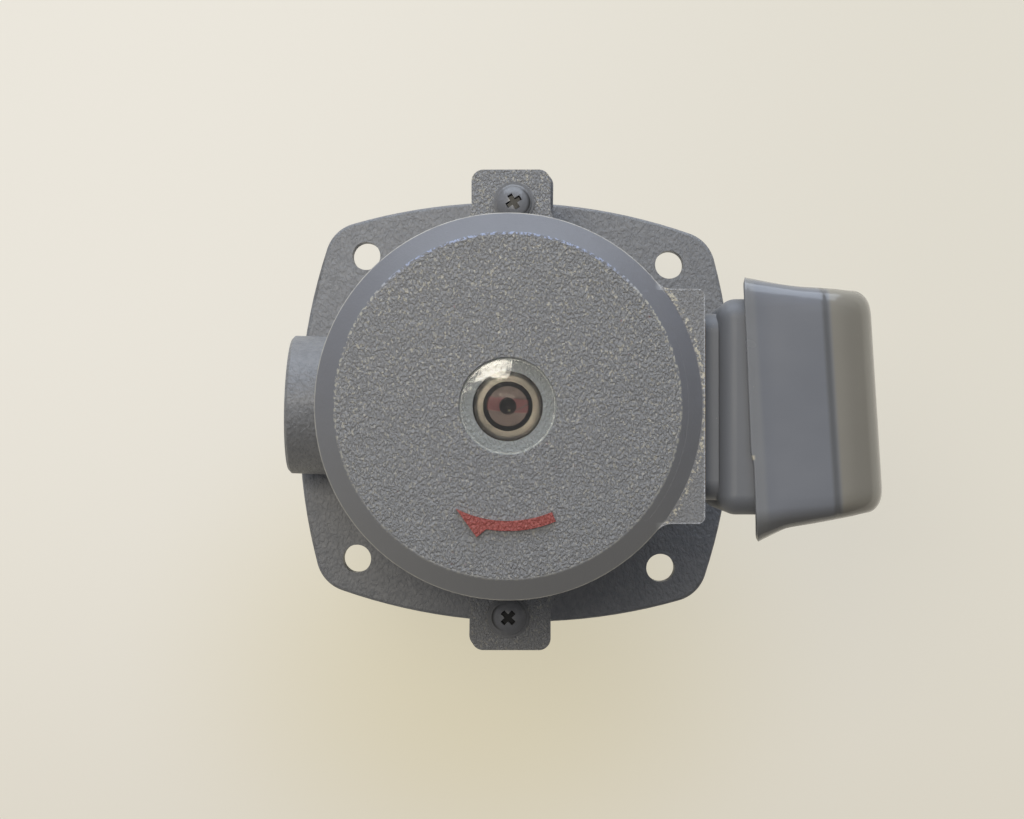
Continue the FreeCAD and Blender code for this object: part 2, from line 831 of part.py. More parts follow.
# Motor can, closed at the top, with the nest for the upper bearing
def make_housing():
    body = new_body("motor_housing", turned=True)
    low_radius = "can_radius + (bevel_low - joint_height - rim_height)*tan(can_draft)"
    rim_top = "joint_height + rim_height"
    outline(sketch(body, "can_profile", "XZ_Plane"), [
        ("0", "joint_height"),
        ("rim_radius", "joint_height"),
        ("rim_radius", rim_top),
        ("rim_radius - shoulder_step", rim_top),
        (low_radius, f"{rim_top} + shoulder_rise"),
        ("can_radius", "bevel_low"),
        ("can_radius - bevel_reach", "can_top"),
        ("0", "can_top"),
    ])
    can = turned_solid(body, "can", doc.getObject("can_profile"))

    def bevel_rings(edge):
        low = ring_edge("can_radius", "bevel_low")(edge)
        return low or ring_edge("can_radius - bevel_reach", "can_top")(edge)
    rounded(body, "bevel_rounds", can, bevel_rings, "bevel_edge")
    add_ears(body, "joint_height")

    face = sketch(body, "pad_outline", "YZ_Plane", "pad_face")
    pad_low = "joint_height + pad_low"
    rounded_box(face, "pad_width/2", f"(bevel_low - {pad_low})/2", "pad_corner",
                y=f"(bevel_low + {pad_low})/2")
    padded(body, "pad", face, "pad_face - pad_root", reverse=True)
    add_arrow(body)

    seat = "upper_outside/2 + seat_gap"
    nest_low = "upper_low - nest_below"
    outline(sketch(body, "cavity_profile", "XZ_Plane"), [
        ("0", "joint_height - overrun"),
        ("can_bore", "joint_height - overrun"),
        ("can_bore", "can_top - can_roof"),
        (f"{seat} + nest_wall", "can_top - can_roof"),
        (f"{seat} + nest_wall", nest_low),
        (seat, nest_low),
        (seat, "recess_floor - ledge_thick"),
        ("ledge_bore", "recess_floor - ledge_thick"),
        ("ledge_bore", "recess_floor"),
        ("recess_radius", "recess_floor"),
        ("recess_radius", "can_top + overrun"),
        ("0", "can_top + overrun"),
    ])
    turned_solid(body, "cavity", doc.getObject("cavity_profile"), "PartDesign::Groove")

    lead = circle(sketch(body, "lead_circle", "YZ_Plane", "pad_face"),
                  "0", "lead_level", "lead_hole")
    pocketed(body, "lead_way", lead, "pad_face - can_bore + can_wall")
    for hand, side in SIDES:
        tap = circle(sketch(body, f"{side}_tap_circle", "YZ_Plane", "pad_face"),
                     f"{hand}*box_screw_place", "box_centre", "box_screw_radius + seat_gap")
        pocketed(body, f"{side}_box_thread", tap, "box_screw_bite")
    # The ears' holes stay over the bracket's, whatever the can is turned by
    ear_hole = circle(sketch(body, "ear_circle", "XY_Plane", "joint_height"),
                      "ear_screw_place*sin(motor_turn - ear_turn)",
                      "ear_screw_place*cos(motor_turn - ear_turn)",
                      "ear_screw_radius + ear_hole_gap")
    polar(body, pocketed(body, "ear_hole", ear_hole, "rim_height", reverse=True),
          "2", "ear_holes")
    return finished(body, "motor_housing")


def at_turn(radius, turn):
    """The point on the top at a radius, turned clockwise from straight down in plan."""
    return (f"0 - ({radius})*sin({turn})", f"0 - ({radius})*cos({turn})")


def add_arrow(body):
    """The half arrow raised from the can's top, curved round the shaft."""
    arrow = sketch(body, "arrow_outline", "XY_Plane", "can_top - sunk")
    outline(arrow, [
        at_turn("arrow_inner", "arrow_tip_turn") + ("arrow_inner", 1),
        at_turn("arrow_inner", "0 - arrow_tail_turn"),
        at_turn("arrow_outer", "0 - arrow_tail_turn") + ("arrow_outer", -1),
        at_turn("arrow_outer", "arrow_neck_turn"),
        at_turn("arrow_barb", "arrow_barb_turn"),
    ])
    return padded(body, "arrow", arrow, "arrow_height + sunk")


def make_window():
    radius = "recess_radius - window_gap"
    top = "recess_floor + window_thick"
    return spun("sight_window", [
        ("0", "recess_floor"),
        (radius, "recess_floor"),
        (radius, f"{top} - window_edge"),
        (f"{radius} - window_edge", top),
        ("0", top),
    ], turned=True)


# Ball bearings: each is two grooved rings, balls, their cage and two shields
def make_bearing(place, low, turned):
    middle = f"{low} + {place}_width/2"
    top = f"{low} + {place}_width"
    pitch = f"{place}_pitch/2"
    ball = f"{place}_ball/2"
    groove = f"{place}_ball*{GROOVE_SHARE}"
    outer_land = f"{pitch} + {place}_land"
    inner_land = f"{pitch} - {place}_land"
    # Half height of the groove where it meets the land
    depth = f"({ball} + ball_gap - {place}_land)"
    mouth = f"sqrt(({groove})^2 - ({groove} - {depth})^2)"
    outside = f"{place}_outside/2"
    bore = f"{place}_bore/2"
    spun(f"{place}_bearing_outer_ring", [
        (outer_land, low), (outside, low), (outside, top), (outer_land, top),
        (outer_land, f"{middle} + {mouth}", groove, -1),
        (outer_land, f"{middle} - {mouth}"),
    ], turned)
    spun(f"{place}_bearing_inner_ring", [
        (bore, low), (inner_land, low),
        (inner_land, f"{middle} - {mouth}", groove, -1),
        (inner_land, f"{middle} + {mouth}"),
        (inner_land, top), (bore, top),
    ], turned)
    balls = new_body(f"{place}_bearing_balls", turned)
    half = sketch(balls, f"{place}_ball_half", "XZ_Plane")
    half_disc(half, pitch, middle, ball)
    axis_line(half, pitch)
    first = turned_solid(balls, f"{place}_ball_turned", half, own_axis=True)
    polar(balls, first, f"{place}_count", f"{place}_balls")
    finished(balls, f"{place}_bearing_balls")

    cage = new_body(f"{place}_bearing_cage", turned)
    rim = f"{ball} + pocket_gap + cage_rim"
    outline(sketch(cage, f"{place}_cage_profile", "XZ_Plane"), [
        (f"{pitch} - cage_half", f"{middle} - {rim}"),
        (f"{pitch} + cage_half", f"{middle} - {rim}"),
        (f"{pitch} + cage_half", f"{middle} + {rim}"),
        (f"{pitch} - cage_half", f"{middle} + {rim}"),
    ])
    turned_solid(cage, f"{place}_cage_turned", doc.getObject(f"{place}_cage_profile"))
    pocket = circle(sketch(cage, f"{place}_pocket_circle", "YZ_Plane"),
                    "0", middle, f"{ball} + pocket_gap")
    cut = pocketed(cage, f"{place}_pocket", pocket, reverse=True)
    polar(cage, cut, f"{place}_count", f"{place}_pockets")
    finished(cage, f"{place}_bearing_cage")

    shields = new_body(f"{place}_bearing_shields", turned)
    pair = sketch(shields, f"{place}_shield_profile", "XZ_Plane")
    inside, rim_line = f"{inner_land} + shield_gap", f"{outer_land} - seat_gap"
    rectangle(pair, inside, rim_line, f"{low} + shield_drop",
              f"{low} + shield_drop + shield_thick")
    rectangle(pair, inside, rim_line, f"{top} - shield_drop - shield_thick",
              f"{top} - shield_drop")
    turned_solid(shields, f"{place}_shields_turned", pair)
    finished(shields, f"{place}_bearing_shields")


def make_wave_spring():
    """A flat ring bent into waves between the upper bearing and the ledge above it."""
    outer = value("upper_outside/2 - window_gap")
    inner = outer - value("spring_width")
    thick, waves = value("spring_thick"), value("spring_waves")
    swing = (value("spring_height") - thick) / 2 - value("seat_gap")
    middle = value("upper_top + spring_height/2") - thick / 2

    def wavy(radius):
        points = []
        for step in range(WAVE_POINTS):
            turn = 2 * math.pi * step / WAVE_POINTS
            height = middle + swing * math.cos(waves * turn)
            points.append(Vector(radius * math.cos(turn), radius * math.sin(turn), height))
        curve = Part.BSplineCurve()
        curve.interpolate(Points=points, PeriodicFlag=True)
        return curve.toShape()
    band = Part.makeRuledSurface(wavy(inner), wavy(outer))
    spring = doc.addObject("Part::Feature", "wave_spring")
    spring.Shape = band.extrude(Vector(0, 0, thick))
    return finished(spring, "wave_spring")


def open_ring(label, inner, outer, low, top, turned=False):
    """A snap ring: its profile turned most of the way round."""
    body = new_body(label, turned)
    profile = sketch(body, f"{label}_profile", "XZ_Plane")
    rectangle(profile, inner, outer, low, top)
    ring = turned_solid(body, f"{label}_turned", profile)
    ring.setExpression("Angle", full("360 - clip_open"))
    return finished(body, label)


def make_snap_rings():
    seat = "lower_outside/2 + seat_gap"
    open_ring("bearing_snap_ring", f"{seat} + snap_depth - snap_width - seat_gap",
              f"{seat} + snap_depth - seat_gap", "lower_top + seat_gap",
              "lower_top + seat_gap + snap_thick")
    open_ring("shaft_snap_ring", "lower_bore/2 - clip_depth + seat_gap",
              "lower_bore/2 - clip_depth + clip_width",
              "web_height - seat_gap - clip_thick", "web_height - seat_gap")


# Stator, rotor and shaft
def make_stator():
    core = new_body("stator_core", turned=True)
    profile = sketch(core, "core_profile", "XZ_Plane")
    rectangle(profile, "stator_bore", "can_bore - seat_gap", "core_low", "core_top")
    turned_solid(core, "core_ring", profile)
    slot = sketch(core, "slot_outline", "XY_Plane", "core_low")
    rectangle(slot, "stator_bore + tooth_tip", "stator_bore + tooth_tip + slot_depth",
              "0 - slot_width/2", "slot_width/2")
    mouth = sketch(core, "mouth_outline", "XY_Plane", "core_low")
    rectangle(mouth, "stator_bore - overrun", "stator_bore + tooth_tip + sunk",
              "0 - slot_width/4", "slot_width/4")
    polar(core, pocketed(core, "slot", slot, "stack_height", reverse=True),
          "slot_count", "slots")
    polar(core, pocketed(core, "slot_mouth", mouth, "stack_height", reverse=True),
          "slot_count", "slot_mouths")
    finished(core, "stator_core")

    coils = new_body("stator_windings", turned=True)
    low, top = "core_low - end_turn_height", "core_top + end_turn_height"
    inner = "stator_bore + tooth_tip + coil_gap"
    outer = f"{inner} + end_turn_wall"
    ends = sketch(coils, "end_turn_profile", "XZ_Plane")
    rectangle(ends, inner, outer, low, "core_low - coil_gap")
    rectangle(ends, inner, outer, "core_top + coil_gap", top)
    turned_solid(coils, "end_turns", ends)
    side = sketch(coils, "coil_outline", "XY_Plane", "core_low - coil_gap - sunk")
    rectangle(side, f"{inner} + 2*coil_gap", f"{inner} + slot_depth - 2*coil_gap",
              "coil_gap - slot_width/2", "slot_width/2 - coil_gap")
    polar(coils, padded(coils, "coil", side, "stack_height + 2*coil_gap + 2*sunk"),
          "slot_count", "coils")
    finished(coils, "stator_windings")


def make_rotor():
    slot_out = "rotor_radius - bar_cover"
    slot_in = f"{slot_out} - bar_depth"
    core = new_body("rotor_core")
    profile = sketch(core, "rotor_profile", "XZ_Plane")
    rectangle(profile, "rotor_seat + seat_gap", "rotor_radius", "core_low", "core_top")
    turned_solid(core, "rotor_ring", profile)
    slot = sketch(core, "bar_slot_outline", "XY_Plane", "core_low")
    rectangle(slot, slot_in, slot_out, "0 - bar_width/2", "bar_width/2")
    polar(core, pocketed(core, "bar_slot", slot, "stack_height", reverse=True),
          "bar_count", "bar_slots")
    finished(core, "rotor_core")

    cage = new_body("rotor_cage")
    rings = sketch(cage, "end_ring_profile", "XZ_Plane")
    rectangle(rings, f"{slot_out} - end_ring_wall", slot_out,
              "core_low - end_ring_height", "core_low")
    rectangle(rings, f"{slot_out} - end_ring_wall", slot_out,
              "core_top", "core_top + end_ring_height")
    turned_solid(cage, "end_rings", rings)
    bar = sketch(cage, "bar_outline", "XY_Plane", "core_low - sunk")
    rectangle(bar, slot_in, slot_out, "0 - bar_width/2", "bar_width/2")
    polar(cage, padded(cage, "bar", bar, "stack_height + 2*sunk"), "bar_count", "bars")
    finished(cage, "rotor_cage")


def make_shaft():
    body = new_body("shaft")
    end = "upper_top + shaft_end_proud"
    rim = "shaft_radius - shaft_end_chamfer"
    groove_low = "web_height - 2*seat_gap - clip_thick"
    groove = "lower_bore/2 - clip_depth"
    thread_low = "nut_low - thread_end"
    step = f"{groove_low} - bearing_step_below"
    outline(sketch(body, "shaft_profile", "XZ_Plane"), [
        ("0", thread_low),
        ("thread_radius - thread_chamfer", thread_low),
        ("thread_radius", f"{thread_low} + thread_chamfer"),
        ("thread_radius", "hub_low"),
        ("impeller_seat", "hub_low"),
        ("impeller_seat", "shroud_top"),
        ("shaft_radius", "shroud_top"),
        ("shaft_radius", step),
        ("lower_bore/2", step),
        ("lower_bore/2", groove_low),
        (groove, groove_low),
        (groove, "web_height"),
        ("lower_bore/2", "web_height"),
        ("lower_bore/2", "lower_top"),
        ("rotor_seat", "lower_top"),
        ("rotor_seat", "upper_low"),
        ("upper_bore/2", "upper_low"),
        ("upper_bore/2", f"{end} - shaft_end_chamfer"),
        (rim, end),
        ("centre_hole", end),
        ("centre_hole", f"{end} - centre_depth"),
        ("0", f"{end} - centre_depth - centre_hole*tan(centre_slope)"),
    ])
    turned_solid(body, "shaft_turned", doc.getObject("shaft_profile"))
    # The keyway is cut from the side that faces the conduit box
    way = sketch(body, "key_way_outline", "YZ_Plane", "impeller_seat - key_rise")
    rectangle(way, "0 - key_width/2", "key_width/2",
              "shroud_top - key_margin - key_length", "shroud_top - key_margin")
    pocketed(body, "key_way", way, "key_rise + overrun", reverse=True)
    return finished(body, "shaft")


def make_slinger():
    radius = "shaft_radius + seat_gap"
    low = "slinger_height"
    top = f"{low} + slinger_hub_height"
    return spun("slinger", [
        (radius, low),
        ("slinger_hub", low),
        ("slinger_hub", f"{top} - slinger_thick"),
        ("slinger_radius", f"{top} - slinger_thick - slinger_slope"),
        ("slinger_radius", f"{top} - slinger_slope"),
        ("slinger_hub", top),
        (radius, top),
    ])


# Screws, each set a profile turned about its own line and repeated
def screws(label, place, corners, count, turned=False, start=None):
    """Screws round the shaft's axis, from a half profile in (out from the screw's
    line, height) formulas. The first stands over X, or start degrees round from it."""
    body = new_body(label, turned)
    if start:
        body.Placement.Rotation = Rotation(Vector(0, 0, 1), value(start))
        body.setExpression("Placement.Rotation.Angle", full(start))
    profile = sketch(body, f"{label}_profile", "XZ_Plane")
    outline(profile, [(f"{place} + {out}", height) for out, height in corners])
    axis_line(profile, place)
    first = turned_solid(body, f"{label}_turned", profile, own_axis=True)
    polar(body, first, count, f"{label}_set")
    return finished(body, label)


def make_ear_screws():
    top = "joint_height + rim_height"
    seat = f"{top} + ear_washer_thick"
    head = f"{seat} + ear_head_height"
    screws("housing_screws", "ear_screw_place", [
        ("0", f"{seat} - ear_screw_length"),
        ("ear_screw_radius", f"{seat} - ear_screw_length"),
        ("ear_screw_radius", seat),
        ("ear_head_radius", seat),
        ("ear_head_radius", f"{seat} + {HEAD_SIDE_SHARE}*ear_head_height"),
        (f"{HEAD_TOP_SHARE}*ear_head_radius", f"{seat} + {HEAD_DOME_SHARE}*ear_head_height"),
        ("0", head),
    ], "2", start="90 + ear_turn")
    screws("housing_screw_washers", "ear_screw_place", [
        ("ear_screw_radius + ear_hole_gap/2", top),
        ("ear_washer_radius", top),
        ("ear_washer_radius", seat),
        ("ear_screw_radius + ear_hole_gap/2", seat),
    ], "2", start="90 + ear_turn")


def make_column_screws():
    seat = "column_top - column_flange_thick"
    head = f"{seat} - column_head_height"
    screws("column_screws", "column_screw_place", [
        ("0", head),
        ("column_head_radius", head),
        ("column_head_radius", seat),
        ("column_screw_radius", seat),
        ("column_screw_radius", "column_screw_bite - screw_end_gap"),
        ("0", "column_screw_bite - screw_end_gap"),
    ], "4", start="45")
    head_low = "cover_low - foot_head_height"
    end = "cover_screw_bite - screw_end_gap - column_length"
    screws("suction_cover_screws", "lug_place", [
        ("0", head_low),
        ("foot_head_radius", head_low),
        ("foot_head_radius", "cover_low"),
        ("cover_screw_size - seat_gap", "cover_low"),
        ("cover_screw_size - seat_gap", end),
        ("0", end),
    ], "4", start="45")


# Column: barrel, discharge riser and volute in one casting
def volute_turn(wall):
    """The volute's outline: four quarter arcs about a small square's corners, each
    one step wider, wound the way the impeller turns, and closed at the tongue."""
    half = "volute_step/2"
    radii = [f"(volute_start + {number}*volute_step + {wall})" for number in range(4)]
    return [
        (f"{half} - {radii[0]}", half, radii[0], -1),
        (half, f"{half} + {radii[0]}", radii[1], -1),
        (f"{half} + {radii[1]}", f"0 - {half}", radii[2], -1),
        (f"0 - {half}", f"0 - {half} - {radii[2]}", radii[3], -1),
        (f"0 - {half} - {radii[3]}", half),
    ]


def add_lugs(body, name, low, height):
    """The round plate with four lugs that the volute and its cover share."""
    disc = circle(sketch(body, f"{name}_disc", "XY_Plane", low), "0", "0", "volute_flange")
    padded(body, f"{name}_plate", disc, height)
    across = "lug_place*sqrt(0.5)"
    lug = circle(sketch(body, f"{name}_lug_circle", "XY_Plane", low),
                 across, across, "lug_radius")
    polar(body, padded(body, f"{name}_lug", lug, height), "4", f"{name}_lugs")


def lug_holes(body, name, low, radius, length):
    across = "lug_place*sqrt(0.5)"
    hole = circle(sketch(body, f"{name}_hole_circle", "XY_Plane", low),
                  across, across, radius)
    polar(body, pocketed(body, f"{name}_hole", hole, length, reverse=True),
          "4", f"{name}_holes")


def make_column():
    body = new_body("pump_column")
    top = "column_top"
    inner = "barrel_radius - barrel_wall"
    low = "0 - column_length"
    outline(sketch(body, "barrel_profile", "XZ_Plane"), [
        (inner, top),
        ("column_flange", top),
        ("column_flange", f"{top} - column_flange_thick"),
        ("barrel_radius", f"{top} - column_flange_thick"),
        ("barrel_radius", "chamber_top + overrun"),
        ("bushing_radius + seat_gap", "chamber_top + overrun"),
        ("bushing_radius + seat_gap", "roof_top"),
        (inner, "roof_top"),
    ])
    turned_solid(body, "barrel", doc.getObject("barrel_profile"))
    spiral = outline(sketch(body, "volute_outline", "XY_Plane", low),
                     volute_turn("volute_wall"))
    padded(body, "volute", spiral, "volute_roof + chamber_depth")
    add_lugs(body, "flange", low, "volute_flange_thick")
    riser = circle(sketch(body, "riser_circle", "XY_Plane", low),
                   "0 - riser_place", "0", "riser_radius")
    padded(body, "riser", riser, "column_length + column_top")
    chamber = outline(sketch(body, "chamber_outline", "XY_Plane", low), volute_turn("0"))
    pocketed(body, "chamber", chamber, "chamber_depth", reverse=True)
    bore = circle(sketch(body, "riser_bore_circle", "XY_Plane", f"{low} + riser_way_start"),
                  "0 - riser_place", "0", "riser_bore")
    pocketed(body, "riser_way", bore, "column_length", reverse=True)
    throat = circle(sketch(body, "throat_circle", "XY_Plane", "chamber_top - overrun"),
                    "0", "0", "bushing_radius + seat_gap")
    pocketed(body, "throat", throat, "volute_roof + 2*overrun", reverse=True)

    middle = "0 - column_window_top - column_window_height/2"
    for plane, both, name in (("XZ_Plane", True, "side"), ("YZ_Plane", False, "front")):
        gap = rounded_box(sketch(body, f"{name}_window_outline", plane),
                          "column_window_width/2", "column_window_height/2",
                          "column_window_corner", y=middle)
        length = "2*column_flange" if both else "column_flange"
        pocketed(body, f"{name}_window", gap, length, reverse=True, both=both)
    across = "column_screw_place*sqrt(0.5)"
    hole = circle(sketch(body, "column_hole_circle", "XY_Plane",
                         "column_top - column_flange_thick"),
                  across, across, "column_screw_radius + hole_gap")
    polar(body, pocketed(body, "column_hole", hole, "column_flange_thick", reverse=True),
          "4", "column_holes")
    lug_holes(body, "tap", low, "cover_screw_size", "cover_screw_bite")
    return finished(body, "pump_column")


def make_gaskets():
    body = new_body("column_gasket")
    ring = sketch(body, "column_gasket_outline", "XY_Plane", "column_top")
    circle(ring, "0", "0", "column_flange")
    circle(ring, "0", "0", "floor_opening")
    circle(ring, "0 - riser_place", "0", "riser_bore")
    across = "column_screw_place*sqrt(0.5)"
    for along in (1, -1):
        for over in (1, -1):
            circle(ring, f"{along}*{across}", f"{over}*{across}",
                   "column_screw_radius + hole_gap")
    padded(body, "column_gasket_pad", ring, "gasket_thick")
    finished(body, "column_gasket")

    body = new_body("suction_cover_gasket")
    add_lugs(body, "gasket", "cover_top", "cover_gasket")
    inside = outline(sketch(body, "gasket_opening", "XY_Plane", "cover_top"),
                     volute_turn("0"))
    pocketed(body, "gasket_window", inside, reverse=True)
    lug_holes(body, "gasket", "cover_top", "cover_screw_size + hole_gap", "cover_gasket")
    finished(body, "suction_cover_gasket")


def make_bushing():
    return spun("throat_bushing", [
        ("shaft_radius + bushing_gap", "chamber_top"),
        ("bushing_radius", "chamber_top"),
        ("bushing_radius", "roof_top"),
        ("bushing_collar", "roof_top"),
        ("bushing_collar", "roof_top + bushing_collar_height"),
        ("shaft_radius + bushing_gap", "roof_top + bushing_collar_height"),
    ])


# Impeller and what holds it
def make_impeller():
    body = new_body("impeller")
    shroud_low = "shroud_top - shroud_thick"
    seat = "impeller_seat + seat_gap"
    outline(sketch(body, "impeller_profile", "XZ_Plane"), [
        (seat, "hub_low"),
        ("hub_radius - hub_chamfer", "hub_low"),
        ("hub_radius", f"{shroud_low} - hub_cone_drop"),
        ("hub_radius + hub_cone_reach", shroud_low),
        ("impeller_radius", shroud_low),
        ("impeller_radius", "shroud_top"),
        (seat, "shroud_top"),
    ])
    turned_solid(body, "impeller_hub", doc.getObject("impeller_profile"))

    # A vane is a strip of one circle that leaves the inlet and the rim at set angles
    rim, eye = "impeller_radius", "vane_start"
    bend = (f"(({rim}^2 - {eye}^2)/(2*({rim}*cos(vane_outlet_angle)"
            f" - {eye}*cos(vane_inlet_angle))))")
    far = f"sqrt({bend}^2 + {rim}^2 - 2*{bend}*{rim}*cos(vane_outlet_angle))"

    def on_vane(radius, side):
        """Where the vane's face crosses a radius, with the bend's centre on X."""
        face = f"({bend} + {side}*vane_thick/2)"
        across = f"((({radius})^2 + {far}^2 - {face}^2)/(2*{far}))"
        return across, f"0 - sqrt(({radius})^2 - {across}^2)"
    rim_line = f"({rim} - vane_inset)"
    face_out, face_in = f"({bend} + vane_thick/2)", f"({bend} - vane_thick/2)"
    vane = sketch(body, "vane_outline", "XY_Plane", f"{shroud_low} + vane_sunk")
    outline(vane, [
        on_vane(eye, "1") + (face_out, 1),
        on_vane(rim_line, "1"),
        on_vane(rim_line, "-1") + (face_in, -1),
        on_vane(eye, "-1"),
    ])
    depth = "cover_top + cover_land_height + vane_gap"
    pad = padded(body, "vane", vane, f"{shroud_low} + vane_sunk - ({depth})", reverse=True)
    polar(body, pad, "vane_count", "vanes")
    way = sketch(body, "hub_way_outline", "XY_Plane", "hub_low")
    rectangle(way, "0", "impeller_seat + key_rise + seat_gap",
              "0 - key_width/2 - seat_gap", "key_width/2 + seat_gap")
    pocketed(body, "hub_way", way, reverse=True)
    return finished(body, "impeller")


def make_impeller_fastening():
    key = new_body("impeller_key")
    block = sketch(key, "key_outline", "YZ_Plane", "impeller_seat - key_rise")
    rectangle(block, "seat_gap - key_width/2", "key_width/2 - seat_gap",
              "shroud_top - key_margin - key_length + seat_gap",
              "shroud_top - key_margin - seat_gap")
    padded(key, "key_pad", block, "2*key_rise")
    finished(key, "impeller_key")
    spun("impeller_washer", [
        ("thread_radius + seat_gap", "nut_top"),
        ("washer_radius", "nut_top"),
        ("washer_radius", "hub_low"),
        ("thread_radius + seat_gap", "hub_low"),
    ])
    nut = new_body("impeller_nut")
    face = sketch(nut, "nut_outline", "XY_Plane", "nut_low")
    across = "nut_flats/2"
    point = "nut_flats/sqrt(3)"
    outline(face, [
        (point, "0"), (f"{point}/2", across), (f"0 - {point}/2", across),
        (f"0 - {point}", "0"), (f"0 - {point}/2", f"0 - {across}"),
        (f"{point}/2", f"0 - {across}"),
    ])
    circle(face, "0", "0", "thread_radius + seat_gap")
    padded(nut, "nut_pad", face, "nut_height")
    finished(nut, "impeller_nut")


def make_suction_cover():
    body = new_body("suction_cover")
    add_lugs(body, "cover", "cover_low", "cover_thick")
    land = circle(sketch(body, "land_circle", "XY_Plane", "cover_top"),
                  "0", "0", "cover_land")
    padded(body, "land", land, "cover_land_height")
    foot = sketch(body, "foot_outline", "XY_Plane", "cover_low + sunk")
    rounded_box(foot, "foot_depth/2", "foot_width/2", "foot_corner", x="foot_place")
    pad = padded(body, "foot", foot, "foot_height + sunk", reverse=True)
    polar(body, pad, "4", "feet")
    eye = circle(sketch(body, "inlet_circle", "XY_Plane", "cover_low"),
                 "0", "0", "inlet_radius")
    cut = pocketed(body, "inlet", eye, "cover_thick + cover_land_height", reverse=True)
    rounded(body, "inlet_lip", cut, ring_edge("inlet_radius", "cover_low"),
            "inlet_round")
    lug_holes(body, "cover", "cover_low", "cover_screw_size + hole_gap", "cover_thick")
    return finished(body, "suction_cover")


# Conduit box: gasket, base with its drawn seat, and the deep drawn cover
def make_box_base():
    gasket = new_body("conduit_box_gasket", turned=True)
    face = sketch(gasket, "box_gasket_outline", "YZ_Plane", "pad_face")
    rounded_box(face, "box_seat_width/2", "box_seat_tall/2", "box_corner", y="box_centre")
    circle(face, "0", "lead_level", "lead_hole")
    for hand, side in SIDES:
        circle(face, f"{hand}*box_screw_place", "box_centre", "box_screw_radius + hole_gap")
    padded(gasket, "box_gasket_pad", face, "box_gasket")
    finished(gasket, "conduit_box_gasket")

    base = new_body("conduit_box_base", turned=True)
    tray = sketch(base, "tray_outline", "YZ_Plane", "box_back")
    rounded_box(tray, "box_width/2", "box_tall/2", "box_corner", y="box_centre")
    pad = padded(base, "tray", tray, "box_front_low - box_back + split_room")

    def back_edge(edge):
        return near(edge.BoundBox.XMin, "box_back") and near(edge.BoundBox.XMax, "box_back")
    solid = rounded(base, "tray_round", pad, back_edge, "box_corner - joint_sunk")
    mouth = [f"Face{number}" for number, face in enumerate(solid.Shape.Faces, start=1)
             if near(face.BoundBox.XMin, "box_front_low + split_room")]
    walls = base.newObject("PartDesign::Thickness", "tray_walls")
    walls.Base = (solid, mouth)
    walls.Reversed = True
    walls.setExpression("Value", full("box_sheet"))
    doc.recompute()
    # The rim leans, so that the opened box gives room to work from the front
    high, low = "box_centre + box_tall/2", "box_centre - box_tall/2"
    room = "split_room*tan(split_lean)"
    lean = outline(sketch(base, "split_outline", "XZ_Plane"), [
        (f"box_front_low + {room}", f"{low} - split_room"),
        ("box_front_low + 3*split_room", f"{low} - split_room"),
        ("box_front_low + 3*split_room", f"{high} + split_room"),
        (f"box_front - {room}", f"{high} + split_room"),
    ])
    pocketed(base, "split", lean, "2*box_width", both=True)
    # The wall over the entry is cut back, so that a connector's locknut finds room
    nut = circle(sketch(base, "entry_nut_circle", "XY_Plane", f"{low} - overrun"),
                 "cover_lip_place + entry_place*cos(cover_skew)",
                 "entry_place*sin(cover_skew) - cover_shift",
                 "entry_radius + entry_nut_room")
    pocketed(base, "entry_nut_way", nut, "box_sheet + 2*overrun", reverse=True)
    seat = sketch(base, "seat_outline", "YZ_Plane", "seat_face")
    rounded_box(seat, "box_seat_width/2", "box_seat_tall/2", "box_corner", y="box_centre")
    padded(base, "drawn_seat", seat, "box_seat_rise + sunk")
    lead = circle(sketch(base, "base_lead_circle", "YZ_Plane", "seat_face"),
                  "0", "lead_level", "lead_hole")
    pocketed(base, "base_lead_way", lead, reverse=True)
    for hand, side in SIDES:
        hole = circle(sketch(base, f"{side}_hole_circle", "YZ_Plane", "seat_face"),
                      f"{hand}*box_screw_place", "box_centre", "box_screw_radius + hole_gap")
        pocketed(base, f"{side}_screw_way", hole, reverse=True)
    ground = circle(sketch(base, "ground_circle", "YZ_Plane", "seat_face"),
                    "0 - box_screw_place", "ground_level",
                    "box_screw_radius + seat_gap")
    pocketed(base, "ground_way", ground, reverse=True)
    finished(base, "conduit_box_base")


def screws_along(label, places, seat, end):
    """Pan head screws that point at the motor: the head stands on the seat."""
    body = new_body(label, turned=True)
    for number, (across, height) in enumerate(places):
        shank = circle(sketch(body, f"{label}_shank_{number}", "YZ_Plane", end),
                       across, height, "box_screw_radius")
        padded(body, f"{label}_stem_{number}", shank, f"{seat} - ({end}) + joint_sunk")
        head = circle(sketch(body, f"{label}_head_{number}", "YZ_Plane", seat),
                      across, height, "box_screw_head")
        padded(body, f"{label}_pan_{number}", head, "box_screw_head_height")
    return finished(body, label)


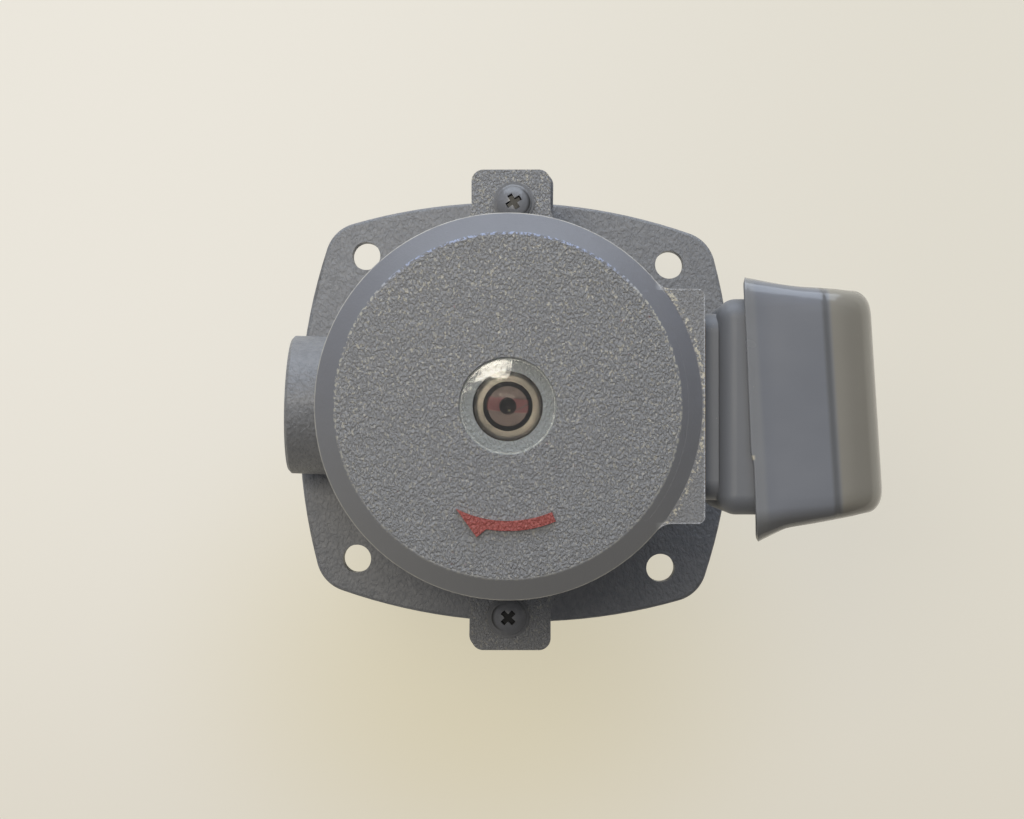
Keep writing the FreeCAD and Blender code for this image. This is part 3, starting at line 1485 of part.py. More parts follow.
def cover_solid(name, shrink):
    """The cover's form at the lip plane's own place, drawn smaller by shrink all
    round: a profile with round shoulders, sides cut to their draft, and the flare."""
    body = new_body(name)
    half_tall = f"(cover_tall/2 - {shrink})"
    reach = f"(cover_reach - {shrink})"
    shoulder = f"(cover_shoulder - {shrink})"
    low_shoulder = f"(cover_low_shoulder - {shrink})"
    half_lip = f"(cover_width/2 - {shrink})"
    # The inner form reaches past the lip, so that the cover is open there
    lip = "0 - overrun" if shrink != "0" else "0"
    side = sketch(body, f"{name}_profile", "XZ_Plane")
    outline(side, [
        (lip, f"0 - {half_tall}"),
        (f"{reach} - {low_shoulder}", f"0 - {half_tall}", low_shoulder, 1),
        (reach, f"{low_shoulder} - {half_tall}"),
        (reach, f"{half_tall} - {shoulder}", shoulder, 1),
        (f"{reach} - {shoulder}", half_tall),
        (lip, half_tall),
    ])
    block = padded(body, f"{name}_block", side, f"2*{half_lip}")
    block.Midplane = True
    doc.recompute()
    past = "cover_reach + draft_past"
    for hand, side_name in SIDES:
        wedge = sketch(body, f"{name}_{side_name}_outline", "XY_Plane")
        outline(wedge, [
            ("0 - draft_past", f"{hand}*({half_lip} + draft_past*tan(cover_draft))"),
            (past, f"{hand}*({half_lip} - ({past})*tan(cover_draft))"),
            (past, f"{hand}*({half_lip} + 2*draft_past)"),
            ("0 - draft_past", f"{hand}*({half_lip} + 2*draft_past)"),
        ])
        cut = f"{name}_{side_name}_draft"
        block = pocketed(body, cut, wedge, "2*cover_tall", both=True)

    def side_chain(edge):
        """The edges between the drafted sides and the profile."""
        box = edge.BoundBox
        middle = edge.CenterOfMass
        past_lip = box.XMax > value(lip) + 0.1
        outer = abs(middle.y) > value(half_lip) - value("cover_reach*tan(cover_draft)") - 0.5
        return past_lip and outer and box.YMin * box.YMax > 0
    rounded(body, f"{name}_edges", block, side_chain, f"cover_edge - {shrink}")

    def ring(place, grow, label):
        item = sketch(body, f"{name}_{label}", "YZ_Plane", place)
        rounded_box(item, f"{half_lip} - ({place})*tan(cover_draft) + {grow}",
                    f"{half_tall} + {grow}", f"cover_edge - {shrink} + {grow}")
        return item
    wide = ring(lip, "cover_flare", "flare_outer")
    slim = ring("cover_flare_depth", "0 - flare_sunk", "flare_inner")
    doc.recompute()
    flare = body.newObject("PartDesign::AdditiveLoft", f"{name}_flare")
    flare.Profile = wide
    flare.Sections = [slim]
    flare.Ruled = True
    doc.recompute()
    return body


def make_box_cover():
    outer = cover_solid("cover_outer", "0")
    inner = cover_solid("cover_inner", "cover_sheet")
    hollow = doc.addObject("Part::Cut", "cover_shell")
    hollow.Base = outer
    hollow.Tool = inner
    entry = doc.addObject("Part::Cylinder", "entry_hole")
    entry.setExpression("Radius", full("entry_radius"))
    entry.setExpression("Height", full("cover_tall/2 + draft_past"))
    entry.setExpression("Placement.Base.x", full("entry_place"))
    entry.setExpression("Placement.Base.z", full("0 - cover_tall"))
    screw = doc.addObject("Part::Cylinder", "cover_screw_hole")
    screw.setExpression("Radius", full("box_screw_radius + hole_gap"))
    screw.setExpression("Height", full("cover_reach"))
    screw.Placement.Rotation = Rotation(Vector(0, 1, 0), 90)
    screw.setExpression("Placement.Base.x", full("cover_reach/2"))
    pierced = doc.addObject("Part::Cut", "pierced_cover")
    pierced.Base = hollow
    pierced.Tool = entry
    drilled = doc.addObject("Part::Cut", "drilled_cover")
    drilled.Base = pierced
    drilled.Tool = screw
    trim = new_body("cover_trim")
    high, past = "cover_tall/2", "(cover_tall/2 + split_room)"
    side = outline(sketch(trim, "trim_outline", "XZ_Plane"), [
        ("0 - 3*split_room", f"0 - {past}"),
        (f"({past} + {high})*tan(split_lean)", f"0 - {past}"),
        (f"({high} - {past})*tan(split_lean)", past),
        ("0 - 3*split_room", past),
    ])
    padded(trim, "trim_block", side, "2*cover_width").Midplane = True
    doc.recompute()
    cover = doc.addObject("Part::Cut", "conduit_box_cover")
    cover.Base = drilled
    cover.Tool = trim
    cover_place(cover)
    return finished(cover, "conduit_box_cover")


def cover_place(item):
    """Put something made about the lip plane's middle where the skewed cover is."""
    turn = "motor_turn + cover_skew"
    item.Placement.Rotation = Rotation(Vector(0, 0, 1), value(turn))
    item.setExpression("Placement.Rotation.Angle", full(turn))
    x, y = "cover_lip_place", "(0 - cover_shift)"
    item.setExpression("Placement.Base.x", full(f"{x}*cos(motor_turn) - {y}*sin(motor_turn)"))
    item.setExpression("Placement.Base.y", full(f"{x}*sin(motor_turn) + {y}*cos(motor_turn)"))
    item.setExpression("Placement.Base.z", full("box_centre"))
    doc.recompute()


def make_cover_fastening():
    """The post on the base's floor and the one screw that holds the cover to it."""
    inside = "cover_reach - cover_sheet"
    end = f"cover_lip_place + ({inside})*cos(cover_skew) - post_gap"
    across = f"({inside})*sin(cover_skew) - cover_shift"
    post = new_body("cover_post", turned=True)
    stem = sketch(post, "post_circle", "YZ_Plane", "box_floor")
    circle(stem, across, "box_centre", "post_radius")
    padded(post, "post", stem, f"{end} - box_floor")
    bore = circle(sketch(post, "post_bore", "YZ_Plane", end),
                  across, "box_centre", "post_bore")
    pocketed(post, "post_way", bore, "1.5*box_screw_bite")
    finished(post, "cover_post")

    screw = new_body("cover_screw")
    profile = sketch(screw, "cover_screw_shank", "YZ_Plane", f"{inside} - box_screw_bite")
    circle(profile, "0", "0", "box_screw_radius")
    padded(screw, "cover_screw_stem", profile, "box_screw_bite + cover_sheet + joint_sunk")
    head = circle(sketch(screw, "cover_screw_head", "YZ_Plane", "cover_reach"),
                  "0", "0", "box_screw_head")
    pan = padded(screw, "cover_screw_pan", head, "box_screw_head_height")
    cover_place(screw)
    finished(screw, "cover_screw")
    return pan


def make_leads():
    """Three leads from the end turns through the grommet, down to their terminals."""
    spots = [f"{number}*lead_spacing" for number in (-1, 0, 1)]
    radius, bend = value("lead_radius"), value("lead_bend")
    start, drop, level = value("lead_start"), value("lead_drop_place"), value("lead_level")
    end = value("lead_end")
    tubes = []
    for spot in spots:
        y = value(spot)
        turn = Part.Arc(Vector(drop - bend, y, level),
                        Vector(drop - bend + bend * math.sin(math.pi / 4), y,
                               level - bend + bend * math.cos(math.pi / 4)),
                        Vector(drop, y, level - bend))
        path = Part.Wire([
            Part.LineSegment(Vector(start, y, level), Vector(drop - bend, y, level)).toShape(),
            turn.toShape(),
            Part.LineSegment(Vector(drop, y, level - bend), Vector(drop, y, end)).toShape(),
        ])
        rim = Part.Circle(Vector(start, y, level), Vector(1, 0, 0), radius).toShape()
        tubes.append(path.makePipeShell([Part.Wire([rim])], True, False))
    leads = doc.addObject("Part::Feature", "lead_wires")
    leads.Shape = Part.makeCompound(tubes)
    leads.Placement.Rotation = Rotation(Vector(0, 0, 1), value("motor_turn"))
    leads.setExpression("Placement.Rotation.Angle", full("motor_turn"))
    finished(leads, "lead_wires")

    lugs = new_body("lead_terminals", turned=True)
    top = "lead_end"
    for number, spot in enumerate(spots):
        barrel = sketch(lugs, f"barrel_circle_{number}", "XY_Plane", top)
        circle(barrel, "lead_drop_place", spot, "lead_radius + terminal_wall/2")
        padded(lugs, f"barrel_{number}", barrel, "terminal_length", reverse=True)
        tab = sketch(lugs, f"tab_outline_{number}", "YZ_Plane",
                     "lead_drop_place - terminal_thick/2")
        eye = f"{top} - terminal_length - terminal_eye + terminal_join"
        circle(tab, spot, eye, "terminal_eye/2")
        rounded_box(tab, "lead_spacing/2 - terminal_gap", "terminal_eye",
                    "terminal_corner", x=spot, y=eye)
        padded(lugs, f"tab_{number}", tab, "terminal_thick")
    finished(lugs, "lead_terminals")

    ring = new_body("lead_grommet", turned=True)
    hole = "lead_hole - seat_gap"
    inside = "lead_hole - grommet_wall"
    back = sketch(ring, "grommet_flange_outline", "YZ_Plane", "box_floor")
    circle(back, "0", "lead_level", "lead_hole + grommet_flange")
    circle(back, "0", "lead_level", inside)
    padded(ring, "grommet_rim", back, "grommet_flange_thick")
    sleeve = sketch(ring, "grommet_sleeve_outline", "YZ_Plane", "pad_face - grommet_tail")
    circle(sleeve, "0", "lead_level", hole)
    circle(sleeve, "0", "lead_level", inside)
    padded(ring, "grommet_sleeve", sleeve, "box_floor - pad_face + grommet_tail + joint_sunk")
    finished(ring, "lead_grommet")


make_bracket()
make_housing()
make_window()
make_bearing("upper", "upper_low", True)
make_bearing("lower", "web_height", False)
make_wave_spring()
make_snap_rings()
make_stator()
make_rotor()
make_shaft()
make_slinger()
make_ear_screws()
make_column_screws()
make_column()
make_gaskets()
make_bushing()
make_impeller()
make_impeller_fastening()
make_suction_cover()
make_box_base()
screws_along("base_screws", [("0 - box_screw_place", "box_centre"),
                             ("box_screw_place", "box_centre")],
             "box_floor", "pad_face - box_screw_bite + screw_end_gap")
screws_along("ground_screw", [("0 - box_screw_place", "ground_level")],
             "box_floor", "seat_face + ground_end_gap")
make_box_cover()
make_cover_fastening()
make_leads()
doc.recompute()

failed = [item.Name for item in doc.Objects if {"Invalid", "Error"} & set(item.State)]
bad = [node.Label for node in NODES if node.Shape.isNull() or not node.Shape.isValid()]
if failed or bad:
    raise RuntimeError(f"failed features: {failed}, bad shapes: {bad}")
os.makedirs("parts", exist_ok=True)
for node in NODES:
    node.Shape.exportStep(f"parts/{node.Label}.step")
    print(node.Label, len(node.Shape.Solids), "solids", round(node.Shape.Volume / 1000, 2), "cm3")
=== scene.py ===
# %% [markdown]
# # Dressing an immersion coolant pump
#
# The pump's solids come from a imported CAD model. This lesson lights them, puts the
# camera where the photographer stood, gives every piece its finish, and rebuilds in
# mesh the few pieces whose looks a plain solid can't carry: the screws, the drawn
# cover of the conduit box, the pad on the motor and the sight window.
#
# Everything is in metres in the model's own frame: Z is the shaft's axis, height 0 is
# the underside of the mounting flange, and X points at the conduit box.

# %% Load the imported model
import json
import math
import bmesh
import bpy
from mathutils import Matrix, Vector

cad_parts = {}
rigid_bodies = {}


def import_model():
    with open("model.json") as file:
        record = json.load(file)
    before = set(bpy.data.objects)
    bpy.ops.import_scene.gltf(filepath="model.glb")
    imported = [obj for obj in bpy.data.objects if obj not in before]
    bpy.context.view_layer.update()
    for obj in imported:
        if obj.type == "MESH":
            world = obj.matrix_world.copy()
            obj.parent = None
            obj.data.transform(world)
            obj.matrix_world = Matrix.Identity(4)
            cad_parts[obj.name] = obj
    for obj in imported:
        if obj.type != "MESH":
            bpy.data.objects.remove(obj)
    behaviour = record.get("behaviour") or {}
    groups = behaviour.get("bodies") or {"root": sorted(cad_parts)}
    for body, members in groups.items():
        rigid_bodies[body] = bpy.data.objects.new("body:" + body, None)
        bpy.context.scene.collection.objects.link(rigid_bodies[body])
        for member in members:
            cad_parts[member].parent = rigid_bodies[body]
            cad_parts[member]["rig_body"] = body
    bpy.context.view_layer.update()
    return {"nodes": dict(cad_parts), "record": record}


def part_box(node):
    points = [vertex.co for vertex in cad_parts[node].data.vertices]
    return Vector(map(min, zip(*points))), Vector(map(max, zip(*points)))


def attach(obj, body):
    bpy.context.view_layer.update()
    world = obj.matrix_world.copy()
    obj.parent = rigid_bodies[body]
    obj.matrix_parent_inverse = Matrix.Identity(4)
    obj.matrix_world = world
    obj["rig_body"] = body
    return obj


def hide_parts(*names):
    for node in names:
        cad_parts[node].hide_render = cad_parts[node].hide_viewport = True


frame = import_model()
MM = 0.001


# %% Helpers for objects
def linked(name, data):
    """A new object with its data, in the scene."""
    item = bpy.data.objects.new(name, data)
    bpy.context.scene.collection.objects.link(item)
    return item


def stand(item, x, y, z, place):
    """Put an object at a place, with its own axes along three directions."""
    turn = Matrix((x, y, z)).transposed().to_4x4()
    item.matrix_world = Matrix.Translation(place) @ turn


def new_piece(name, points, faces, finish):
    """A mesh object from points and faces, with one finish."""
    mesh = bpy.data.meshes.new(name)
    mesh.from_pydata([tuple(point) for point in points], [], faces)
    mesh.materials.append(finish)
    return linked(name, mesh)


# %% [markdown]
# ## Where the camera stood
#
# The photograph looks almost straight down. The walls of the motor lean away from one
# point of the picture, and that point gives the direction straight down; how much
# faster the top grows than the flange gives the distance. Both together place the
# lens 0.82 m above the flange, with a long focal length. The motor stands turned by a
# little on its bracket, and the photographer had squared the picture on the motor, so
# the camera is rolled by the same turn.

# %% Camera
MOTOR_TURN = math.radians(1.7)
IMAGE_WIDTH = 1024
FOCAL_PIXELS = 2214.0
SENSOR = 36.0


def with_motor(x, y, z):
    """A point of the motor, in millimetres, as metres in the model's frame."""
    c, s = math.cos(MOTOR_TURN), math.sin(MOTOR_TURN)
    return Vector((x * c - y * s, x * s + y * c, z)) * MM


eye = with_motor(8.9, -9.2, 819.0)
aim = with_motor(-0.4, 0.8, 8.0)
lens_data = bpy.data.cameras.new("overhead_camera")
lens_data.sensor_width = SENSOR
lens_data.lens = FOCAL_PIXELS * SENSOR / IMAGE_WIDTH
lens_data.clip_start = 0.05
lens_data.clip_end = 20.0
camera = linked("overhead_camera", lens_data)
forward = (aim - eye).normalized()
right = forward.cross(with_motor(0.0, 1000.0, 0.0)).normalized()
stand(camera, right, right.cross(forward), -forward, eye)
bpy.context.scene.camera = camera
print("Lens", round(lens_data.lens, 1), "mm,", round(eye.z, 3), "m above the flange")

# %% [markdown]
# ## Wiring node trees by hand
#
# Every material here is a graph. Written out in full, one graph takes a page, so a
# small class does the wiring. `add` places a node and fills its inputs, with either a
# plain value or another node's output. `times`, `plus`, `minus` and `over` do sums,
# `ramp` and `band` turn a number into a mask, `mix` blends two colours by a mask, and
# `layers` lays several over each other. Three plain numbers are a colour as a screen
# shows it, 0 to 255. A lesson on materials is then about the finish.


# %% A graph with short ways to add nodes
def colour(red, green, blue):
    """A screen's colour, 0 to 255, as the linear one that shaders use."""
    def linear(value):
        value = value / 255.0
        return value / 12.92 if value <= 0.04045 else ((value + 0.055) / 1.055) ** 2.4
    return (linear(red), linear(green), linear(blue), 1.0)


class Graph:
    """A node tree, with short ways to add nodes to it."""

    def __init__(self, tree):
        self.tree = tree

    def feed(self, socket, value):
        """Wire another node's output to a socket, or put a plain value into it."""
        if isinstance(value, bpy.types.NodeSocket):
            self.tree.links.new(value, socket)
        elif socket.type == "RGBA" and len(value) == 3:
            socket.default_value = colour(*value)
        else:
            socket.default_value = value

    def add(self, kind, setup=None, at=None, **inputs):
        """Add a node. Inputs come by number in `at`, or by name with _ for a space."""
        node = self.tree.nodes.new(kind)
        for name, value in (setup or {}).items():
            setattr(node, name, value)
        for number, value in (at or {}).items():
            self.feed(node.inputs[number], value)
        for name, value in inputs.items():
            self.feed(node.inputs[name.replace("_", " ")], value)
        return node

    def math(self, operation, result, *others):
        """A Math node over one value, or a chain of them over several."""
        for value in others or (0.0,):
            result = self.add("ShaderNodeMath", {"operation": operation},
                              {0: result, 1: value}).outputs[0]
        return result

    def times(self, *values):
        return self.math("MULTIPLY", *values)

    def plus(self, *values):
        return self.math("ADD", *values)

    def minus(self, *values):
        return self.math("SUBTRACT", *values)

    def over(self, *values):
        return self.math("DIVIDE", *values)

    def ramp(self, value, low, high, low_result=0.0, high_result=1.0):
        """The value's way from low to high, smoothed, as a number between two results."""
        node = self.add("ShaderNodeMapRange", {"interpolation_type": "SMOOTHSTEP"},
                        Value=value, From_Min=low, From_Max=high,
                        To_Min=low_result, To_Max=high_result)
        return node.outputs["Result"]

    def off(self, value, middle):
        """How far a value is from a middle, to either side."""
        return self.math("ABSOLUTE", self.minus(value, middle))

    def band(self, value, middle, half, soft):
        """1 where a value lies within half of a middle, falling to 0 over a soft edge."""
        return self.ramp(self.off(value, middle), half + soft, half)

    def mix(self, share, first, second):
        """Two colours blended by a share."""
        return self.add("ShaderNodeMix", {"data_type": "RGBA"},
                        {0: share, 6: first, 7: second}).outputs[2]

    def layers(self, tone, *layers):
        """A tone with (share, colour) layers over it, one after another."""
        for share, over in layers:
            tone = self.mix(share, tone, over)
        return tone

    def split(self, vector):
        """The X, Y and Z of a vector."""
        return self.add("ShaderNodeSeparateXYZ", Vector=vector).outputs

    def vector(self, x, y, z):
        """Three numbers as a vector."""
        return self.add("ShaderNodeCombineXYZ", X=x, Y=y, Z=z).outputs[0]

    def placed(self, vector, turn, stretch=(1.0, 1.0, 1.0), shift=(0.0, 0.0, 0.0)):
        """A vector turned about the axis, stretched and shifted."""
        return self.add("ShaderNodeMapping", Vector=vector, Location=shift, Scale=stretch,
                        Rotation=(0.0, 0.0, turn)).outputs[0]

    def radius(self, x, y):
        """The distance from the shaft's axis."""
        return self.math("SQRT", self.plus(self.math("POWER", x, 2.0), self.math("POWER", y, 2.0)))

    def length(self, vector):
        """A vector's length."""
        return self.add("ShaderNodeVectorMath", {"operation": "LENGTH"},
                        {0: vector}).outputs["Value"]

    def noise(self, vector, scale, detail=2.0, roughness=0.5, distortion=0.0):
        """A cloud of numbers from 0 to 1, finer with more scale."""
        return self.add("ShaderNodeTexNoise", Vector=vector, Scale=scale, Detail=detail,
                        Roughness=roughness, Distortion=distortion).outputs["Fac"]

    def group(self, group, **inputs):
        """A node group's outputs, with its inputs filled."""
        return self.add("ShaderNodeGroup", {"node_tree": group}, **inputs).outputs

    def blend(self, share, first, second):
        """Two shaders blended by a share."""
        return self.add("ShaderNodeMixShader", None,
                        {0: share, 1: first, 2: second}).outputs[0]

    def shader(self, height, depth, **inputs):
        """The Principled shader with a bump, as its output."""
        node = self.add("ShaderNodeBsdfPrincipled", **inputs)
        bump = self.add("ShaderNodeBump", Height=height, Distance=depth, Strength=1.0)
        self.feed(node.inputs["Normal"], bump.outputs["Normal"])
        return node.outputs["BSDF"]

    def show(self, shader, kind="ShaderNodeOutputMaterial"):
        """Put a shader on the tree's output."""
        self.feed(self.add(kind).inputs["Surface"], shader)

    def surface(self, height, depth, **inputs):
        """Put the Principled shader with a bump on the material's output."""
        self.show(self.shader(height, depth, **inputs))


def emptied(holder):
    """The empty graph of a material or a world."""
    holder.use_nodes = True
    holder.node_tree.nodes.clear()
    return Graph(holder.node_tree)


def new_material(name):
    """A material, its empty graph, and the place of each point in the model's frame."""
    material = bpy.data.materials.new(name)
    g = emptied(material)
    return material, g, g.add("ShaderNodeTexCoord").outputs["Object"]


# %% [markdown]
# ## The table and the light
#
# The pump stands on its feet on a pale table. The table is cream paper, a little
# brighter to the camera than the lamps make it, as an evenly lit sweep is, so that
# the shadow under the pump stays faint as in the photograph.
#
# Two lamps do the work. A wide window beyond the top of the picture is slightly blue
# and low, so it lights the sides that face it and leaves the others warm. A soft panel
# hangs 1.4 m up, towards the picture's upper left; the flat sight window over the
# shaft's end mirrors one corner of it. The room is grey overhead, darker below that and
# warm along the walls, brighter at the back and darker at the front right.

# %% Table
FLOOR_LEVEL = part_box("suction_cover")[0].z
TABLE_HALF = 1.6
# Painted shade: the cream darkens to the right and the front, with a painted shadow in front of the pump
CREAM, CREAM_SHADE_RIGHT = (242, 237, 226), (232, 227, 214)
CREAM_SHADE_FRONT, CREAM_PAINTED_SHADOW = (227, 220, 204), (224, 213, 177)
SELF_LIT = 0.72

cream, g, place = new_material("cream_table")
x, y, z = g.split(place)
to_right = g.plus(g.ramp(x, -0.20, 0.24), g.times(g.noise(place, 2.2, 1.0), 0.12))
to_front = g.times(g.ramp(y, 0.06, -0.26), 0.7)
from_painted_shadow = g.length(g.placed(place, 0.0, (1.0, 1.25, 0.0), (0.012, 0.135, 0.0)))
paper = g.layers(CREAM, (to_right, CREAM_SHADE_RIGHT), (to_front, CREAM_SHADE_FRONT),
                 (g.ramp(from_painted_shadow, 0.17, 0.02, 0.0, 0.6), CREAM_PAINTED_SHADOW))
matte = g.add("ShaderNodeBsdfDiffuse", Color=paper).outputs[0]
glow = g.add("ShaderNodeEmission", Color=paper, Strength=1.0).outputs[0]
ray = g.add("ShaderNodeLightPath").outputs
direct = g.math("MAXIMUM", ray["Is Camera Ray"],
                g.math("MAXIMUM", ray["Is Glossy Ray"], ray["Is Transmission Ray"]))
g.show(g.blend(g.times(direct, SELF_LIT), matte, glow))
table = new_piece("table", [(TABLE_HALF * side, TABLE_HALF * end, FLOOR_LEVEL)
                            for side, end in ((-1, -1), (1, -1), (1, 1), (-1, 1))],
                  [(0, 1, 2, 3)], cream)


# %% Lamps
def lamp(name, corner, along, over, radiance, tint):
    """A flat lamp from one corner and its two sides. It shines against their cross product."""
    data = bpy.data.lights.new(name, "AREA")
    data.shape = "RECTANGLE"
    data.size = along.length
    data.size_y = over.length
    data.color = tint
    data.energy = radiance * math.pi * along.length * over.length
    x, y = along.normalized(), over.normalized()
    stand(linked(name, data), x, y, x.cross(y), corner + (along + over) / 2)
    print("Lamp", name, "radiance", radiance)


lamp("window_lamp", Vector((0.75, 1.25, 0.05)), Vector((-1.9, 0.25, 0.0)),
     Vector((0.0, -0.35, 1.0)), 2.5, (0.78, 0.87, 1.0))
lamp("ceiling_panel", Vector((-0.019, 0.043, 1.40)), Vector((-0.01, 0.40, 0.0)),
     Vector((-0.40, -0.01, 0.0)), 12.0, (1.0, 0.93, 0.79))

# %% The room
ROOM_BELOW = (0.20, 0.205, 0.215, 1.0)
ROOM_CEILING = (0.42, 0.42, 0.42, 1.0)
ROOM_WALLS = (0.46, 0.44, 0.39, 1.0)

world = bpy.data.worlds.new("room")
bpy.context.scene.world = world
g = emptied(world)
x, y, z = g.split(g.add("ShaderNodeTexCoord").outputs["Generated"])
tone = g.layers(ROOM_BELOW, (g.ramp(z, 0.55, 0.95), ROOM_CEILING),
                (g.ramp(z, 0.45, 0.05), ROOM_WALLS))
to_back = g.ramp(y, -0.6, 0.5, 0.66, 1.12)
to_front_right = g.ramp(g.minus(x, y), 0.2, 1.2, 1.0, 0.5)
room = g.add("ShaderNodeBackground", Color=tone, Strength=g.times(to_back, to_front_right))
g.show(room.outputs[0], "ShaderNodeOutputWorld")
bpy.context.scene.view_settings.view_transform = "Standard"

# %% [markdown]
# ## Effects that several finishes share
#
# Sprayed enamel on a sand casting has a pebbled skin: the sand leaves grains about a
# millimetre wide, and the paint rounds them and pools between them. Machined metal
# has fine rings round its axis, and handled steel has faint smears of oil. Each is one
# node group, made once and placed in the materials with its own sizes, so that all
# castings share one look.

# %% Node groups for castings, turned metal and handled steel
FLOAT, VECTOR = "NodeSocketFloat", "NodeSocketVector"


def new_group(name, inputs, outputs, kind="ShaderNodeTree"):
    """A node group with its sockets, its graph, and its two ends."""
    group = bpy.data.node_groups.new(name, kind)
    for way, sockets in (("INPUT", inputs), ("OUTPUT", outputs)):
        for label, socket in sockets.items():
            group.interface.new_socket(label, in_out=way, socket_type=socket)
    g = Graph(group)
    return group, g, g.add("NodeGroupInput").outputs, g.add("NodeGroupOutput").inputs


cast_skin, g, given, result = new_group(
    "cast_skin", {"Position": VECTOR, "Grain": FLOAT, "Depth share": FLOAT},
    {"Height": FLOAT, "Mottle": FLOAT, "Glint": FLOAT})
fine = g.over(1.0, given["Grain"])
stretched = g.placed(given["Position"], math.radians(38), (1.0, 0.72, 1.0))
ridge = g.ramp(g.noise(stretched, fine, 2.0, 0.5, 0.35), 0.34, 0.66)
pebbles = g.add("ShaderNodeTexVoronoi", {"feature": "SMOOTH_F1"}, Vector=stretched,
                Scale=g.times(fine, 0.85), Smoothness=0.55)
grain = g.minus(ridge, g.times(pebbles.outputs["Distance"], 0.55))
swell = g.noise(given["Position"], 85.0, 2.0)
g.feed(result["Height"], g.plus(g.times(grain, given["Depth share"]), g.times(swell, 0.8)))
g.feed(result["Mottle"], g.noise(given["Position"], 140.0, 4.0, 0.6))
# Glint marks the crowns of the grain, where the housing's enamel paints highlights
crown = g.ramp(g.noise(stretched, g.times(fine, 0.9), 1.0, 0.5, 0.5), 0.555, 0.66)
some = g.ramp(g.noise(given["Position"], 400.0, 1.0), 0.36, 0.60, 0.25, 1.0)
g.feed(result["Glint"], g.times(crown, some))

turned_metal, g, given, result = new_group(
    "turned_metal", {"Position": VECTOR, "Ring width": FLOAT}, {"Height": FLOAT, "Sheen": FLOAT})
x, y, z = g.split(given["Position"])
rings = g.noise(g.vector(g.over(g.radius(x, y), given["Ring width"]),
                         g.over(z, given["Ring width"]), 0.0), 1.0, 2.0, 0.6)
g.feed(result["Height"], rings)
g.feed(result["Sheen"], g.times(rings, g.noise(given["Position"], 260.0, 3.0)))

oil_smears, g, given, result = new_group(
    "oil_smears", {"Position": VECTOR, "Patch": FLOAT}, {"Mask": FLOAT})
cloud = g.noise(given["Position"], g.over(1.0, given["Patch"]), 4.0, 0.62, 0.6)
g.feed(result["Mask"], g.ramp(cloud, 0.42, 0.68))
print("Node groups:", [group.name for group in bpy.data.node_groups])

# %% [markdown]
# ## Grey enamel on the castings
#
# The bracket and the motor have a material each. The bracket's skin is shallow and soft.
# The motor's top and ears carry the deep pebble of the sand mould, but the bevel round
# the top was machined before painting and the pad for the conduit box was dressed, so
# their skin is smoother. The distance from the shaft's axis and the height tell where
# they are, and those masks hold the grain back. The crowns of the grain get painted
# glints, the bevel's and the pad's edges get painted highlights as pale lines, and the
# bevel's back half gets a painted bluish shade. The raised arrow for the direction
# of rotation is picked out in red by hand, so the material turns red above the level of
# the top, with a slightly ragged edge. The recess under the sight window stays dull.

# %% Colours and places of the enamel
GREY, GREY_DEEP = (148, 149, 153), (133, 134, 138)
# The blue tone on the next line is a painted shade for the bevel's back half
BEVEL_GREY, BEVEL_BLUE_SHADE, PAD_GREY = (133, 134, 138), (110, 112, 121), (132, 133, 137)
BRACKET_GREY, BRACKET_DEEP, BRACKET_CLOUD = (142, 143, 147), (127, 128, 132), (112, 114, 119)
RECESS_GREY = (172, 172, 173)
# The pale edge tones and the glint tone below are painted highlights
EDGE_HIGHLIGHT, EDGE_HIGHLIGHT_WARM = (196, 194, 188), (186, 184, 172)
EDGE_HIGHLIGHT_COOL, EDGE_HIGHLIGHT_PAD = (166, 180, 216), (184, 186, 192)
PAINTED_GLINT = (206, 200, 184)
ARROW_RED, ARROW_LIGHT = (150, 62, 58), (184, 104, 98)
CAN_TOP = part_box("motor_housing")[1].z - 1.0 * MM
BEVEL_IN = 51.6 * MM
BEVEL_OUT = 58.55 * MM
BEVEL_LOW = CAN_TOP - 6.3 * MM
PAD_FACE = 59.4 * MM
PAD_SIDE = 35.4 * MM
PAD_NEAR = 44.0 * MM
FRONT, BACK = -45.0 * MM, 30.0 * MM
RECESS = 14.75 * MM


# %% Enamel on the bracket
def bracket_enamel():
    """Grey enamel over the bracket's soft, shallow skin."""
    material, g, place = new_material("bracket_enamel")
    skin = g.group(cast_skin, Position=place, Grain=0.0011, Depth_share=0.55)
    clouds = g.ramp(g.noise(place, 420.0, 3.0, 0.6), 0.35, 0.7, 0.0, 0.5)
    paint = g.mix(skin["Mottle"], BRACKET_DEEP, BRACKET_GREY)
    g.surface(skin["Height"], 0.00030, Base_Color=g.mix(clouds, paint, BRACKET_CLOUD),
              Roughness=g.ramp(skin["Mottle"], 0.2, 0.8, 0.42, 0.54),
              Coat_Weight=0.1, Coat_Roughness=0.25)
    return material


